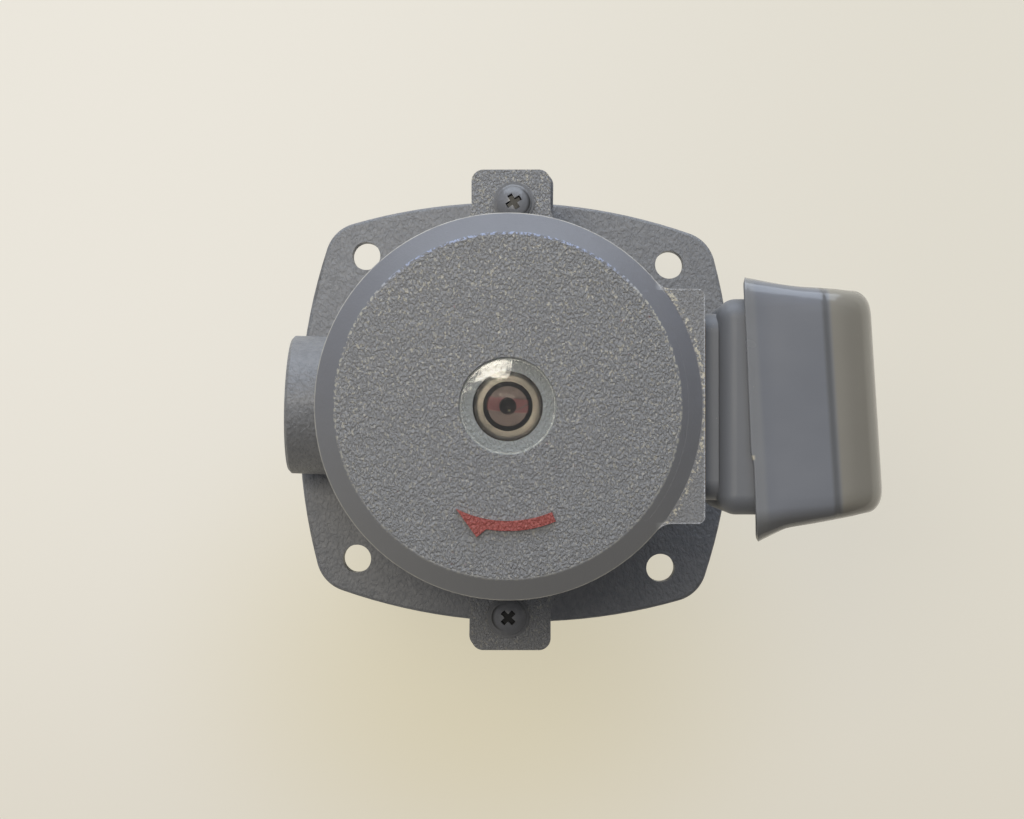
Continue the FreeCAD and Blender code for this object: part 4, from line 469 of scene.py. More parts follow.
# %% Enamel on the motor
def housing_enamel():
    """Grey enamel on the motor: deep pebble on the top, and smooth on the bevel."""
    material, g, place = new_material("housing_enamel")
    x, y, z = g.split(g.placed(place, -MOTOR_TURN))
    radius = g.radius(x, y)

    # The bevel and the pad hold the grain back
    high = g.ramp(z, BEVEL_LOW - 0.001, BEVEL_LOW)
    on_bevel = g.times(g.band(radius, (BEVEL_IN + BEVEL_OUT) / 2,
                              (BEVEL_OUT - BEVEL_IN) / 2, 0.0004), high)
    smooth = g.minus(1.0, g.times(on_bevel, 0.95))
    on_pad = g.times(g.ramp(radius, BEVEL_OUT, BEVEL_OUT + 0.0005), g.ramp(x, PAD_NEAR - 0.004, PAD_NEAR))
    depth = g.times(smooth, g.ramp(on_pad, 0.0, 1.0, 1.0, 0.5))
    skin = g.group(cast_skin, Position=place, Grain=0.00070, Depth_share=depth)

    # Painted glints on the crowns of the grain, more towards the window
    wall = g.times(g.band(radius, BEVEL_OUT, 0.0006, 0.0006), g.minus(1.0, high))
    glints = g.times(skin["Glint"], smooth, g.ramp(y, FRONT, BACK, 0.35, 0.62),
                     g.ramp(wall, 0.0, 1.0, 1.0, 0.2), g.ramp(on_pad, 0.0, 1.0, 1.0, 0.3))
    # Painted bluish shade on the bevel's back half, towards the window
    upper = g.times(on_bevel, g.ramp(y, FRONT, BACK - 0.010), 0.75)

    # Painted highlights in pale lines: round the bevel's outer and inner edges, along the pad's edges
    grains = g.noise(place, 950.0, 2.0)
    uneven = g.ramp(g.noise(place, 210.0, 2.0), 0.3, 0.6, 0.45, 1.0)
    outer_line = g.times(g.band(radius, BEVEL_OUT - 0.00015, 0.00012, 0.00018), high,
                         uneven, g.ramp(x, PAD_NEAR + 0.0040, PAD_NEAR + 0.0015), 0.75)
    edge_tint = g.mix(g.ramp(y, BACK, BACK + 0.015), EDGE_HIGHLIGHT_WARM, EDGE_HIGHLIGHT_COOL)
    inner_line = g.times(g.band(radius, BEVEL_IN + 0.0002, 0.0002, 0.0004), high,
                         g.ramp(grains, 0.46, 0.58), g.ramp(y, FRONT - 0.005, BACK, 0.3, 0.8))
    beyond = g.math("MAXIMUM", g.minus(g.math("ABSOLUTE", y), PAD_SIDE), g.minus(x, PAD_FACE))
    pad_line = g.times(g.ramp(beyond, -0.0005, -0.0003), high, uneven,
                       g.ramp(x, PAD_NEAR, PAD_NEAR + 0.0025), 0.8)
    # Painted glints in an arc just outside the bevel's outer edge
    seam_glints = g.times(g.band(radius, BEVEL_OUT + 0.0010, 0.0004, 0.0007), high,
                     g.ramp(grains, 0.50, 0.60, 0.0, 0.9))

    # The arrow's level is picked out in red, and the recess stays dull
    above = g.minus(z, CAN_TOP)
    red = g.ramp(g.plus(above, g.times(g.noise(place, 700.0), 0.0005)), 0.00035, 0.00050)
    recess = g.times(g.ramp(radius, RECESS + 0.0002, RECESS),
                     g.ramp(z, CAN_TOP - 0.0010, CAN_TOP - 0.0018))
    paint = g.layers(
        g.mix(skin["Mottle"], GREY_DEEP, GREY),
        (g.times(on_bevel, 0.9), BEVEL_GREY), (g.times(on_pad, 0.7), PAD_GREY),
        (glints, PAINTED_GLINT), (upper, BEVEL_BLUE_SHADE), (outer_line, EDGE_HIGHLIGHT), (inner_line, edge_tint),
        (pad_line, EDGE_HIGHLIGHT_PAD), (seam_glints, PAINTED_GLINT), (red, g.mix(grains, ARROW_RED, ARROW_LIGHT)),
        (recess, RECESS_GREY))
    gloss = g.plus(g.ramp(skin["Mottle"], 0.2, 0.8, 0.40, 0.50), g.times(recess, 0.2))
    g.surface(skin["Height"], 0.00040, Base_Color=paint, Roughness=gloss,
              Coat_Weight=g.ramp(recess, 0.0, 1.0, 0.12, 0.0), Coat_Roughness=0.3)
    return material


housing_paint = housing_enamel()
bracket_paint = bracket_enamel()
print("Enamel on", housing_paint.name, "and", bracket_paint.name)

# %% [markdown]
# ## The finishes of the other pieces
#
# Below the flange nobody paints for looks: the column and the suction cover are dipped
# in dark primer, and the parts that run in the coolant are bronze and bare steel. Each
# recipe below is a colour pair blended by a mask, a roughness that mostly follows the
# same mask, and a bump from a noise or one of the shared effects.


# %% Recipes for plain and turned finishes
def plain_finish(name, first, second, scale, rough, relief_scale, depth, **fixed):
    """A finish from two close colours in soft patches, with a fine relief."""
    material, g, place = new_material(name)
    patches = g.noise(place, scale, 4.0, 0.6)
    g.surface(g.noise(place, relief_scale, 3.0, 0.6), depth,
              Base_Color=g.mix(patches, first, second),
              Roughness=g.ramp(patches, 0.25, 0.75, *rough), **fixed)
    return material


def turned_finish(name, first, second, rough, ring_width, depth):
    """Machined metal: rings round the shaft's axis, and smears of oil."""
    material, g, place = new_material(name)
    rings = g.group(turned_metal, Position=place, Ring_width=ring_width)
    smears = g.group(oil_smears, Position=place, Patch=0.007)["Mask"]
    sheen = g.plus(g.ramp(smears, 0.0, 1.0, *rough), g.times(rings["Sheen"], 0.12))
    g.surface(rings["Height"], depth, Base_Color=g.mix(smears, first, second),
              Roughness=sheen, Metallic=1.0)
    return material


def primer():
    """Dark primer over a rough casting, duller in the hollows."""
    material, g, place = new_material("dipped_primer")
    skin = g.group(cast_skin, Position=place, Grain=0.0017, Depth_share=1.0)
    g.surface(skin["Height"], 0.0003, Base_Color=g.mix(skin["Mottle"], (70, 72, 75), (96, 98, 100)),
              Roughness=g.ramp(skin["Mottle"], 0.2, 0.8, 0.5, 0.72))
    return material


# %% [markdown]
# The conduit box is sheet metal, so its enamel is smooth, with the slow waves of thick
# paint and a few specks of dust in it. The cover's enamel carries painted light: a warm
# painted reflection on the strip past its panel, painted shade in the crease between
# them and on the low side, and painted highlights on the lip at the motor and at the
# rim's jog.

# %% Enamel on the conduit box
COVER_TURN = MOTOR_TURN + math.radians(3.5)
COVER_PLACE = Vector((74.193, 1.503, 108.5)) * MM
PANEL_END, LIP, LOW_SIDE = 24.2 * MM, 3.6 * MM, -30.0 * MM
# Painted light for the cover: a warm painted reflection past the panel, painted shade in the crease and
# on the low side, and painted highlights on the lip and at the rim's jog
STRIP_PAINTED_REFLECTION, CREASE_PAINTED_SHADE, LIP_PAINTED_HIGHLIGHT = (146, 141, 129), (96, 96, 94), (140, 141, 143)
LOW_SIDE_PAINTED_SHADE, JOG_PAINTED_HIGHLIGHT, DUST_TONE = (98, 97, 95), (224, 214, 190), (196, 190, 176)


def cover_painted_light(g, place):
    """The cover's painted light and shade, in layers laid out along its reach and across it."""
    own = g.add("ShaderNodeVectorMath", {"operation": "SUBTRACT"}, {0: place, 1: COVER_PLACE})
    x, y, z = g.split(g.placed(own.outputs[0], -COVER_TURN))
    # A painted highlight at the rim's jog
    jog_highlight = g.times(g.band(x, -0.0010, 0.0001, 0.0009), g.band(y, -0.0148, 0.0003, 0.0007), 0.7)
    return [(g.times(g.ramp(x, PANEL_END, PANEL_END + 0.002), 0.8), STRIP_PAINTED_REFLECTION),
            (g.times(g.band(x, PANEL_END - 0.0004, 0.0004, 0.0013), 0.55), CREASE_PAINTED_SHADE),
            (g.times(g.ramp(x, LIP, LIP - 0.002), 0.6), LIP_PAINTED_HIGHLIGHT),
            (g.times(g.ramp(y, LOW_SIDE, LOW_SIDE - 0.005), 0.7), LOW_SIDE_PAINTED_SHADE),
            (jog_highlight, JOG_PAINTED_HIGHLIGHT)]


def sheet_enamel(name, dark, light, rough, coat_weight, painted_light_layers=None):
    """Smooth enamel on drawn sheet, with slow waves and specks of dust."""
    material, g, place = new_material(name)
    waves = g.plus(g.noise(place, 70.0, 1.5, 0.4), g.times(g.noise(place, 620.0, 1.0, 0.4), 0.06))
    clouds = g.noise(place, 45.0, 3.0)
    specks = g.add("ShaderNodeTexVoronoi", Vector=place, Scale=420.0).outputs["Distance"]
    dust = g.times(g.ramp(specks, 0.09, 0.03), g.ramp(g.noise(place, 130.0), 0.60, 0.66), 0.35)
    tone = g.layers(g.mix(clouds, dark, light), *(painted_light_layers(g, place) if painted_light_layers else []),
                    (dust, DUST_TONE))
    g.surface(waves, 0.00022, Base_Color=tone,
              Roughness=g.ramp(clouds, 0.2, 0.8, rough, rough + 0.1),
              Coat_Weight=coat_weight, Coat_Roughness=0.08)
    return material


# %% Laminations and varnished copper
def laminated():
    """The stacked edges of thin sheets, half a millimetre each."""
    material, g, place = new_material("laminations")
    height = g.split(place)[2]
    waves = g.math("SINE", g.times(height, 2.0 * math.pi / (0.5 * MM)))
    edges = g.plus(g.times(waves, 0.5), 0.5)
    smears = g.group(oil_smears, Position=place, Patch=0.005)["Mask"]
    tone = g.layers(g.mix(edges, (70, 74, 82), (128, 132, 140)),
                    (g.times(smears, 0.4), (120, 96, 78)))
    g.surface(edges, 0.00004, Base_Color=tone, Metallic=0.85,
              Roughness=g.ramp(smears, 0.0, 1.0, 0.38, 0.55))
    return material


def varnished_copper():
    """Enamelled wire under amber varnish: strands round the axis in each bundle."""
    material, g, place = new_material("varnished_copper")
    strands = g.group(turned_metal, Position=place, Ring_width=0.0009)["Height"]
    pools = g.group(oil_smears, Position=place, Patch=0.008)["Mask"]
    tone = g.layers(g.mix(strands, (112, 48, 20), (196, 104, 52)),
                    (g.times(pools, 0.5), (88, 34, 14)))
    g.surface(strands, 0.0005, Base_Color=tone, Metallic=0.55,
              Roughness=g.ramp(pools, 0.0, 1.0, 0.30, 0.18),
              Coat_Weight=0.6, Coat_Roughness=0.12)
    return material


# %% [markdown]
# Through the sight window the photograph shows the shaft's end and the bearing's inner
# ring round it. The end carries a painter's red stripe, scraped and worn, and a painted
# shade darkens its rim. The ring has a line of painted shade where its face steps down to
# the shield.

# %% The shaft's end
RING_STEP = 9.35 * MM
SHAFT, SHAFT_SMEAR = (64, 55, 52), (57, 49, 46)
# The near-black tone and the ring's line and hollow tones are painted shade; the near-white tone is a
# painted highlight
STRIPE_RED, HOLE_HIGHLIGHT, DARK_SHADE = (82, 6, 6), (250, 240, 205), (30, 29, 27)
RING, RING_SMEAR = (86, 80, 73), (76, 71, 65)
RING_STEP_SHADE, RING_HOLLOW_SHADE = (38, 35, 32), (44, 41, 38)


def shaft_end():
    """Ground steel, with the painter's red stripe over the end that the window shows."""
    material, g, place = new_material("ground_shaft")
    rings = g.group(turned_metal, Position=place, Ring_width=0.00010)["Height"]
    smears = g.group(oil_smears, Position=place, Patch=0.004)["Mask"]
    x, y, z = g.split(place)
    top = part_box("shaft")[1].z
    on_end = g.ramp(z, top - 0.0004, top - 0.0002)

    # The stripe runs along X with a slight tilt and an uneven edge
    wobble = g.times(g.minus(g.noise(place, 900.0), 0.5), 0.0006)
    stripe = g.ramp(g.off(g.plus(g.times(x, 0.06), y, wobble), 0.0004), 0.0022, 0.0019)
    scrape_line = g.math("ABSOLUTE", g.minus(y, g.plus(g.times(x, 0.55), -0.0026)))
    scrape = g.times(g.ramp(scrape_line, 0.00022, 0.00012), g.ramp(x, 0.0022, 0.0028))
    worn = g.ramp(g.noise(place, 2600.0, 3.0), 0.34, 0.46)
    red = g.times(stripe, on_end, g.minus(1.0, scrape), g.plus(0.35, g.times(worn, 0.65)))

    # A painted shade on the rim round the end, and one painted highlight in its centre hole
    rim = g.times(g.ramp(g.radius(x, y), 0.00600, 0.00612),
                  g.ramp(z, top - 0.0022, top - 0.0018), 0.9)
    glint = g.times(g.band(x, 0.0004, 0.0002, 0.0003), g.band(y, -0.0012, 0.0001, 0.0003),
                    g.ramp(z, top, top - 0.0004))
    tone = g.layers(g.mix(smears, SHAFT, SHAFT_SMEAR), (rim, DARK_SHADE), (red, STRIPE_RED),
                    (glint, HOLE_HIGHLIGHT))
    g.surface(rings, 0.00002, Base_Color=tone, Metallic=g.minus(1.0, g.times(red, 0.9)),
              Roughness=g.plus(g.ramp(smears, 0.0, 1.0, 0.40, 0.46), g.times(red, 0.12)))
    return material


# %% The ring round it, and the window over both
def ring_face():
    """The upper bearing's inner ring: its turned face, with painted shade along the line where it
    steps down to the shield and in the hollow past it."""
    material, g, place = new_material("bearing_ring_face")
    x, y, z = g.split(place)
    radius = g.radius(x, y)
    rings = g.group(turned_metal, Position=place, Ring_width=0.00011)["Height"]
    smears = g.group(oil_smears, Position=place, Patch=0.006)["Mask"]
    # Painted shade along the step and in the hollow past it
    line = g.times(g.ramp(g.off(radius, RING_STEP), 0.00024, 0.00010), 0.85)
    hollow = g.times(g.ramp(radius, RING_STEP + 0.0008, RING_STEP + 0.0011), 0.8)
    tone = g.layers(g.mix(smears, RING, RING_SMEAR), (line, RING_STEP_SHADE), (hollow, RING_HOLLOW_SHADE))
    crown = g.ramp(g.off(radius, RING_STEP + 0.00055), 0.0005, 0.0)
    g.surface(g.plus(g.times(rings, 0.12), crown), 0.00016, Base_Color=tone, Metallic=1.0,
              Roughness=g.ramp(smears, 0.0, 1.0, 0.22, 0.26))
    return material


def clear_plastic():
    """A clear moulded disc. Lamps and the room light what lies under it."""
    material, g, place = new_material("clear_plastic")
    x, y, z = g.split(place)
    haze = g.ramp(g.noise(place, 1500.0, 3.0), 0.35, 0.75, 0.02, 0.06)
    rim = g.ramp(g.radius(x, y), RECESS - 0.0009, RECESS - 0.0005, 0.0, 0.5)
    plastic = g.shader(g.noise(place, 160.0, 2.0), 0.00003, Base_Color=(0.96, 0.97, 0.97, 1.0),
                       Roughness=g.plus(haze, rim), IOR=1.5, Transmission_Weight=1.0)
    clear = g.add("ShaderNodeBsdfTransparent", Color=(0.93, 0.95, 0.95, 1.0)).outputs[0]
    ray = g.add("ShaderNodeLightPath").outputs
    let_by = g.math("MAXIMUM", ray["Is Shadow Ray"], ray["Is Diffuse Ray"])
    g.show(g.blend(let_by, plastic, clear))
    return material


# %% Enamel over the screws on the ears
def painted_screw(from_middle, head_top):
    """Enamel over a screw's head, with painted shade in the driver's recess."""
    material, g, place = new_material("ear_screw_enamel")
    x, y, z = g.split(place)
    from_axis = g.length(g.vector(x, g.minus(g.math("ABSOLUTE", y), from_middle), 0.0))
    # Painted shade in the driver's recess
    recess_shade = g.times(g.ramp(from_axis, 0.0048, 0.0042),
                    g.ramp(z, head_top - 0.0009, head_top - 0.0018))
    patches = g.noise(place, 500.0, 4.0, 0.6)
    tone = g.layers(g.mix(patches, (112, 113, 117), (130, 131, 136)),
                    (g.times(recess_shade, 0.92), DARK_SHADE))
    relief = g.plus(g.noise(place, 900.0, 2.0), g.times(g.noise(place, 350.0, 1.0), 0.8))
    g.surface(relief, 0.00012, Base_Color=tone, Roughness=g.ramp(recess_shade, 0.0, 1.0, 0.30, 0.85),
              Coat_Weight=0.3, Coat_Roughness=0.15)
    return material


# %% [markdown]
# Most pieces need no recipe of their own. Their finish is one row: a name, two colours
# and a few sizes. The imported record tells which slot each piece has, and four pieces
# that the photograph shows closely get a finish of their own.

# %% Finishes for the slots
finishes = {
    "cast_paint": bracket_paint,
    "box_paint": sheet_enamel("base_enamel", (110, 113, 119), (118, 120, 126), 0.42, 0.0),
    "cast_iron": primer(),
    "shaft_steel": shaft_end(),
    "lamination_steel": laminated(),
    "enamelled_copper": varnished_copper(),
    "clear_window": clear_plastic(),
}
TURNED = {
    "screw_steel": ("zinc_plate", (188, 186, 178), (166, 160, 146), (0.24, 0.40), 0.00015, 2e-5),
    "bronze": ("turned_bronze", (196, 154, 92), (150, 108, 60), (0.26, 0.46), 0.00020, 3e-5),
    "bearing_steel": ("polished_steel", (206, 202, 196), (184, 176, 166), (0.10, 0.22),
                      0.00012, 8e-6),
    "cage_steel": ("pressed_steel", (170, 168, 164), (142, 138, 130), (0.28, 0.44),
                   0.00025, 2e-5),
    "spring_steel": ("blued_steel", (70, 72, 80), (92, 86, 84), (0.28, 0.44), 0.00018, 2e-5),
}
PLAIN = {
    "gasket_fibre": ("gasket_fibre", (132, 108, 78), (156, 130, 96), 260.0, (0.75, 0.9),
                     1800.0, 8e-5),
    "green_screw": ("green_dye", (30, 120, 52), (44, 140, 66), 300.0, (0.3, 0.45), 900.0, 3e-5),
    "cast_aluminium": ("die_cast", (176, 178, 180), (150, 152, 156), 220.0, (0.34, 0.5),
                       700.0, 9e-5),
    "rubber": ("moulded_rubber", (34, 34, 35), (50, 50, 50), 180.0, (0.62, 0.82), 1200.0, 5e-5),
    "lead_insulation": ("lead_insulation", (26, 26, 28), (38, 38, 40), 240.0, (0.32, 0.45),
                        1500.0, 2e-5),
    "tinned_brass": ("tin_plate", (196, 194, 186), (170, 164, 150), 500.0, (0.26, 0.4),
                     1500.0, 2e-5),
    "painted_screw": ("screw_enamel", (104, 105, 108), (120, 121, 124), 500.0, (0.28, 0.42),
                      900.0, 1e-4),
}
EXTRAS = {
    "green_screw": {"Metallic": 0.7},
    "cast_aluminium": {"Metallic": 1.0},
    "lead_insulation": {"Coat_Weight": 0.15},
    "tinned_brass": {"Metallic": 1.0},
    "painted_screw": {"Coat_Weight": 0.3, "Coat_Roughness": 0.15},
}
for slot, row in TURNED.items():
    finishes[slot] = turned_finish(*row)
for slot, row in PLAIN.items():
    finishes[slot] = plain_finish(*row, **EXTRAS.get(slot, {}))
print("Finishes:", len(finishes))

# %% Give every node its finish
slot_of = {part["node"]: part["material_slot"] for part in frame["record"]["subparts"]}
finish_of = {node: finishes[slot] for node, slot in slot_of.items()}
cover_paint = sheet_enamel("cover_enamel", (118, 121, 129), (127, 130, 138), 0.18, 0.5,
                           cover_painted_light)
finish_of["motor_housing"] = housing_paint
finish_of["conduit_box_cover"] = cover_paint
finish_of["housing_screw_washers"] = plain_finish(
    "washer_enamel", (112, 113, 117), (126, 127, 131), 500.0, (0.55, 0.7), 900.0, 1e-4)
finish_of["upper_bearing_inner_ring"] = ring_face()
for node, item in frame["nodes"].items():
    item.data.materials.clear()
    item.data.materials.append(finish_of[node])
print("Nodes with a finish:", len(finish_of))

# %% [markdown]
# ## Screws from one tree
#
# The pump holds together on machine screws of a few sizes. A screw follows rules: a
# head with a domed top and a driver's recess, and a shank with a helical thread. So
# one Geometry Nodes tree makes any of them from its sizes, and copies it to the
# points of a small mesh, each with its own aim. The recess is cut with a tapered
# cross, or a six-sided pin for a socket screw.

# %% The screw's head and its driver's recess
GEOMETRY = "NodeSocketGeometry"
SIZES = ("Head radius", "Head height", "Dome", "Shank radius", "Shank length", "Pitch",
         "Drive radius", "Drive depth", "Arm width")


def moved(g, geometry, x, y, z):
    """The geometry, moved by an offset that may differ from point to point."""
    return g.add("GeometryNodeSetPosition", Geometry=geometry, Offset=g.vector(x, y, z)).outputs[0]


def joined(g, *geometries):
    """Several geometries as one."""
    node = g.add("GeometryNodeJoinGeometry")
    for geometry in reversed(geometries):
        g.feed(node.inputs[0], geometry)
    return node.outputs[0]


def cylinder(g, vertices, sides, fills, radius, depth):
    """An upright cylinder round the middle."""
    return g.add("GeometryNodeMeshCylinder", Vertices=vertices, Side_Segments=sides,
                 Fill_Segments=fills, Radius=radius, Depth=depth).outputs[0]


screw_tree, g, size, screw_out = new_group(
    "machine_screw", {"Geometry": GEOMETRY, **dict.fromkeys(SIZES, FLOAT),
                      "Socket head": "NodeSocketBool", "Finish": "NodeSocketMaterial"},
    {"Geometry": GEOMETRY}, "GeometryNodeTree")
x, y, z = g.split(g.add("GeometryNodeInputPosition").outputs[0])
height = size["Head height"]
out = g.over(g.radius(x, y), size["Head radius"])
drop = g.times(g.math("POWER", out, 2.6), g.times(size["Dome"], height))
on_top = g.math("GREATER_THAN", z, g.times(height, 0.45))
head = moved(g, cylinder(g, 48, 3, 8, size["Head radius"], height), 0.0, 0.0,
             g.plus(g.over(height, 2.0), g.times(drop, on_top, -1.0)))
twice_deep = g.times(size["Drive depth"], 2.0)
bar = g.add("GeometryNodeMeshCube", Size=g.vector(
    g.times(size["Drive radius"], 2.0), size["Arm width"], twice_deep)).outputs[0]
deep = g.math("MAXIMUM", g.over(z, g.times(size["Drive depth"], -1.0)), 0.0)
bar = moved(g, bar, g.times(x, g.times(deep, -0.30)), 0.0, 0.0)
crossbar = g.add("GeometryNodeTransform", Geometry=bar,
                 Rotation=(0.0, 0.0, math.pi / 2)).outputs[0]
choice = g.add("GeometryNodeSwitch", {"input_type": "GEOMETRY"}, Switch=size["Socket head"],
               **{"False": joined(g, bar, crossbar),
                  "True": cylinder(g, 6, 1, 1, size["Drive radius"], twice_deep)})
cutter = g.add("GeometryNodeTransform", Geometry=choice.outputs[0],
               Translation=g.vector(0.0, 0.0, height)).outputs[0]
recessed = g.add("GeometryNodeMeshBoolean", {"operation": "DIFFERENCE", "solver": "EXACT"},
                 Mesh_1=head, Mesh_2=cutter, Self_Intersection=True).outputs[0]

# %% The shank with its thread, and a copy on every point
pitch, length = size["Pitch"], size["Shank length"]
core_radius = g.minus(size["Shank radius"], g.times(pitch, 0.42))
core = moved(g, cylinder(g, 32, 1, 1, core_radius, length), 0.0, 0.0, g.times(length, -0.5))
wound = g.minus(length, g.times(pitch, 1.2))
helix = g.add("GeometryNodeCurveSpiral", Resolution=28, Rotations=g.over(wound, pitch),
              Start_Radius=core_radius, End_Radius=core_radius, Height=wound).outputs[0]
upright = g.add("GeometryNodeSetCurveNormal", {"mode": "Z_UP"}, Curve=helix).outputs[0]
tooth = g.add("GeometryNodeCurvePrimitiveCircle", {"mode": "RADIUS"}, Resolution=4,
              Radius=g.times(pitch, 0.42)).outputs[0]
thread = g.add("GeometryNodeCurveToMesh", Curve=upright, Profile_Curve=tooth,
               Fill_Caps=True).outputs[0]
thread = moved(g, thread, 0.0, 0.0, g.times(length, -1.0))
aims = g.add("GeometryNodeInputNamedAttribute", {"data_type": "FLOAT_VECTOR"}, Name="aim")
copies = g.add("GeometryNodeInstanceOnPoints", Points=size["Geometry"],
               Instance=joined(g, recessed, core, thread), Rotation=aims.outputs[0])
real = g.add("GeometryNodeRealizeInstances", Geometry=copies.outputs[0]).outputs[0]
bend = g.add("GeometryNodeInputMeshEdgeAngle").outputs["Unsigned Angle"]
soft = g.add("FunctionNodeCompare", {"operation": "LESS_THAN"}, {0: bend, 1: math.radians(32)})
for domain, smooth in (("EDGE", soft.outputs[0]), ("FACE", True)):
    real = g.add("GeometryNodeSetShadeSmooth", {"domain": domain}, Geometry=real,
                 Shade_Smooth=smooth).outputs[0]
dressed = g.add("GeometryNodeSetMaterial", Geometry=real, Material=size["Finish"])
g.feed(screw_out["Geometry"], dressed.outputs[0])
print("Screw tree:", len(screw_tree.nodes), "nodes")

# %% Grow screws as a plain mesh that stands for a CAD node
SOCKET_OF = {socket.name: socket.identifier for socket in screw_tree.interface.items_tree
             if socket.in_out == "INPUT"}


def baked_mesh(piece):
    """The piece's mesh, with its modifiers applied."""
    seen_by = bpy.context.evaluated_depsgraph_get()
    return bpy.data.meshes.new_from_object(piece.evaluated_get(seen_by))


def settle(piece, node):
    """The piece stands for a CAD node: it rides on the same body, and the node is hidden."""
    body = frame["nodes"][node]["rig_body"]
    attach(piece, body)
    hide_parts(node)


def screws(name, node, places, finish, **sizes):
    """Screws at their places, each a point with its aim as three Euler angles."""
    points = bpy.data.meshes.new(name + "_points")
    points.from_pydata([place for place, turn in places], [], [])
    aims = points.attributes.new("aim", "FLOAT_VECTOR", "POINT")
    for item, (place, turn) in zip(aims.data, places):
        item.vector = turn
    source = linked(name + "_points", points)
    modifier = source.modifiers.new("tree", "NODES")
    modifier.node_group = screw_tree
    for label, value in {**sizes, "Finish": finish}.items():
        modifier[SOCKET_OF[label.replace("_", " ")]] = value
    mesh = baked_mesh(source)
    mesh.name = name
    mesh.validate()
    bpy.data.objects.remove(source)
    print(name, len(mesh.polygons), "faces")
    settle(linked(name, mesh), node)


# %% [markdown]
# ## The screws in their places
#
# Every place comes from the solids: the box of a node gives its head's level and its
# distance from the axis. The two screws on the ears were painted with the housing, and
# their crosses stopped where the driver left them.

# %% Ear screws, column screws and foot screws
HEAD_RADIUS = 5.9 * MM
HEAD_HEIGHT = 3.6 * MM
low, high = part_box("housing_screws")
seat = high.z - HEAD_HEIGHT
x, y = low.x + HEAD_RADIUS, high.y - HEAD_RADIUS
screws("housing_screws_phillips", "housing_screws",
       [((x, y, seat), (0.0, 0.0, math.radians(33))),
        ((-x, -y, seat), (0.0, 0.0, math.radians(47)))],
       painted_screw(y, seat + HEAD_HEIGHT),
       Head_radius=HEAD_RADIUS, Head_height=HEAD_HEIGHT, Dome=0.6, Shank_radius=3.15 * MM,
       Shank_length=seat - low.z, Pitch=1.0 * MM, Drive_radius=3.3 * MM,
       Drive_depth=2.6 * MM, Arm_width=1.75 * MM, Socket_head=False)


def cap_screws(name, node, head_radius, head_height, shank_radius, drive):
    """Four socket screws round the axis on the diagonals, with their heads down."""
    low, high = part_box(node)
    seat = low.z + head_height
    out = (high.x - head_radius) * math.sqrt(2.0)
    places = []
    for quarter in range(4):
        turn = math.radians(45 + 90 * quarter)
        places.append(((out * math.cos(turn), out * math.sin(turn), seat),
                       (math.pi, 0.0, turn + 0.4 * quarter)))
    screws(name, node, places, finishes["screw_steel"],
           Head_radius=head_radius, Head_height=head_height, Dome=0.12,
           Shank_radius=shank_radius, Shank_length=high.z - seat, Pitch=0.8 * MM,
           Drive_radius=drive, Drive_depth=head_height * 0.55, Socket_head=True)


cap_screws("column_cap_screws", "column_screws", 5.0 * MM, 4.0 * MM, 2.95 * MM, 2.9 * MM)
cap_screws("suction_cover_cap_screws", "suction_cover_screws", 4.2 * MM, 3.5 * MM, 2.07 * MM,
           2.3 * MM)

# %% [markdown]
# ## Small screws in the conduit box
#
# The cover is held by one screw in the middle of its front, which reaches the post on
# the base's floor. Two screws hold the base to the motor, and a green one takes the
# ground wire. They come from the same tree, aimed along X: a screw's head points up in
# the tree, so it is tipped by a quarter turn and then swung with the motor.

# %% Cover screw, base screws and ground screw
REACH = 39.8
BOX_FLOOR = 65.2
BOX_MIDDLE = 108.5
BOX_SCREW = 18.0


def pan_screws(name, node, places, turn, length, finish="screw_steel"):
    """Small pan head screws aimed at the motor, their heads out along X."""
    screws(name, node, [(place, (0.0, math.pi / 2, turn)) for place in places],
           finishes[finish], Head_radius=4.0 * MM, Head_height=2.4 * MM, Dome=0.5,
           Shank_radius=1.98 * MM, Shank_length=length, Pitch=0.7 * MM,
           Drive_radius=2.2 * MM, Drive_depth=1.7 * MM, Arm_width=1.1 * MM,
           Socket_head=False)


def on_cover(reach, across, tall):
    """A point in the cover's own frame, in millimetres, as metres in the model's."""
    c, s = math.cos(COVER_TURN), math.sin(COVER_TURN)
    return COVER_PLACE + Vector((reach * c - across * s, reach * s + across * c, tall)) * MM


pan_screws("cover_pan_screw", "cover_screw", [on_cover(REACH, 0.0, 0.0)], COVER_TURN, 8.2 * MM)
pan_screws("base_pan_screws", "base_screws",
           [with_motor(BOX_FLOOR, side, BOX_MIDDLE) for side in (-BOX_SCREW, BOX_SCREW)],
           MOTOR_TURN, 12.3 * MM)
pan_screws("ground_pan_screw", "ground_screw", [with_motor(BOX_FLOOR, -BOX_SCREW, 86.5)],
           MOTOR_TURN, 4.7 * MM, "green_screw")

# %% [markdown]
# ## The drawn cover
#
# The conduit box's cover was drawn from one sheet, so its walls lean in, its edges are
# round, and its open rim flares out where the sheet left the die. It also had knocks:
# the rim bows a little towards the motor, with a short jog near one end. A solid with
# planes and fillets shows none of that, so the cover is skinned here. Every loop round
# the cover is a rounded rectangle whose half width and heights follow from how far the
# loop is from the rim. The loops are joined to a skin, the front is closed, and then
# modifiers give it the sheet's thickness, the two holes and a worn edge.

# %% The cover's loops, in millimetres
RIM_LEAN = math.tan(math.radians(6.8))
SIDE_DRAFT = math.tan(math.radians(7.0))
HALF_TALL, HALF_WIDE = 39.0, 38.5
SHOULDER, LOW_SHOULDER, SIDE_ROUND = 16.0, 6.0, 5.5
COUNT = 128


def bend_in(distance, radius):
    """How far a surface has curved in, at a distance before a round's end."""
    left = max(radius - distance, 0.0)
    return radius - math.sqrt(radius * radius - left * left)


def eased(way):
    """A way from 0 to 1, held at both ends and smoothed."""
    way = min(max(way, 0.0), 1.0)
    return way * way * (3.0 - 2.0 * way)


def rim_bow(across):
    """Where the rim lies along the reach: it bows to the motor, and jogs near one end."""
    jog = eased((across + 13.5) / -3.0)
    return -0.2 - 0.021 * (34.6 - across) * (1.0 - jog) - jog * (0.36 - 0.021 * (across + 16.5))


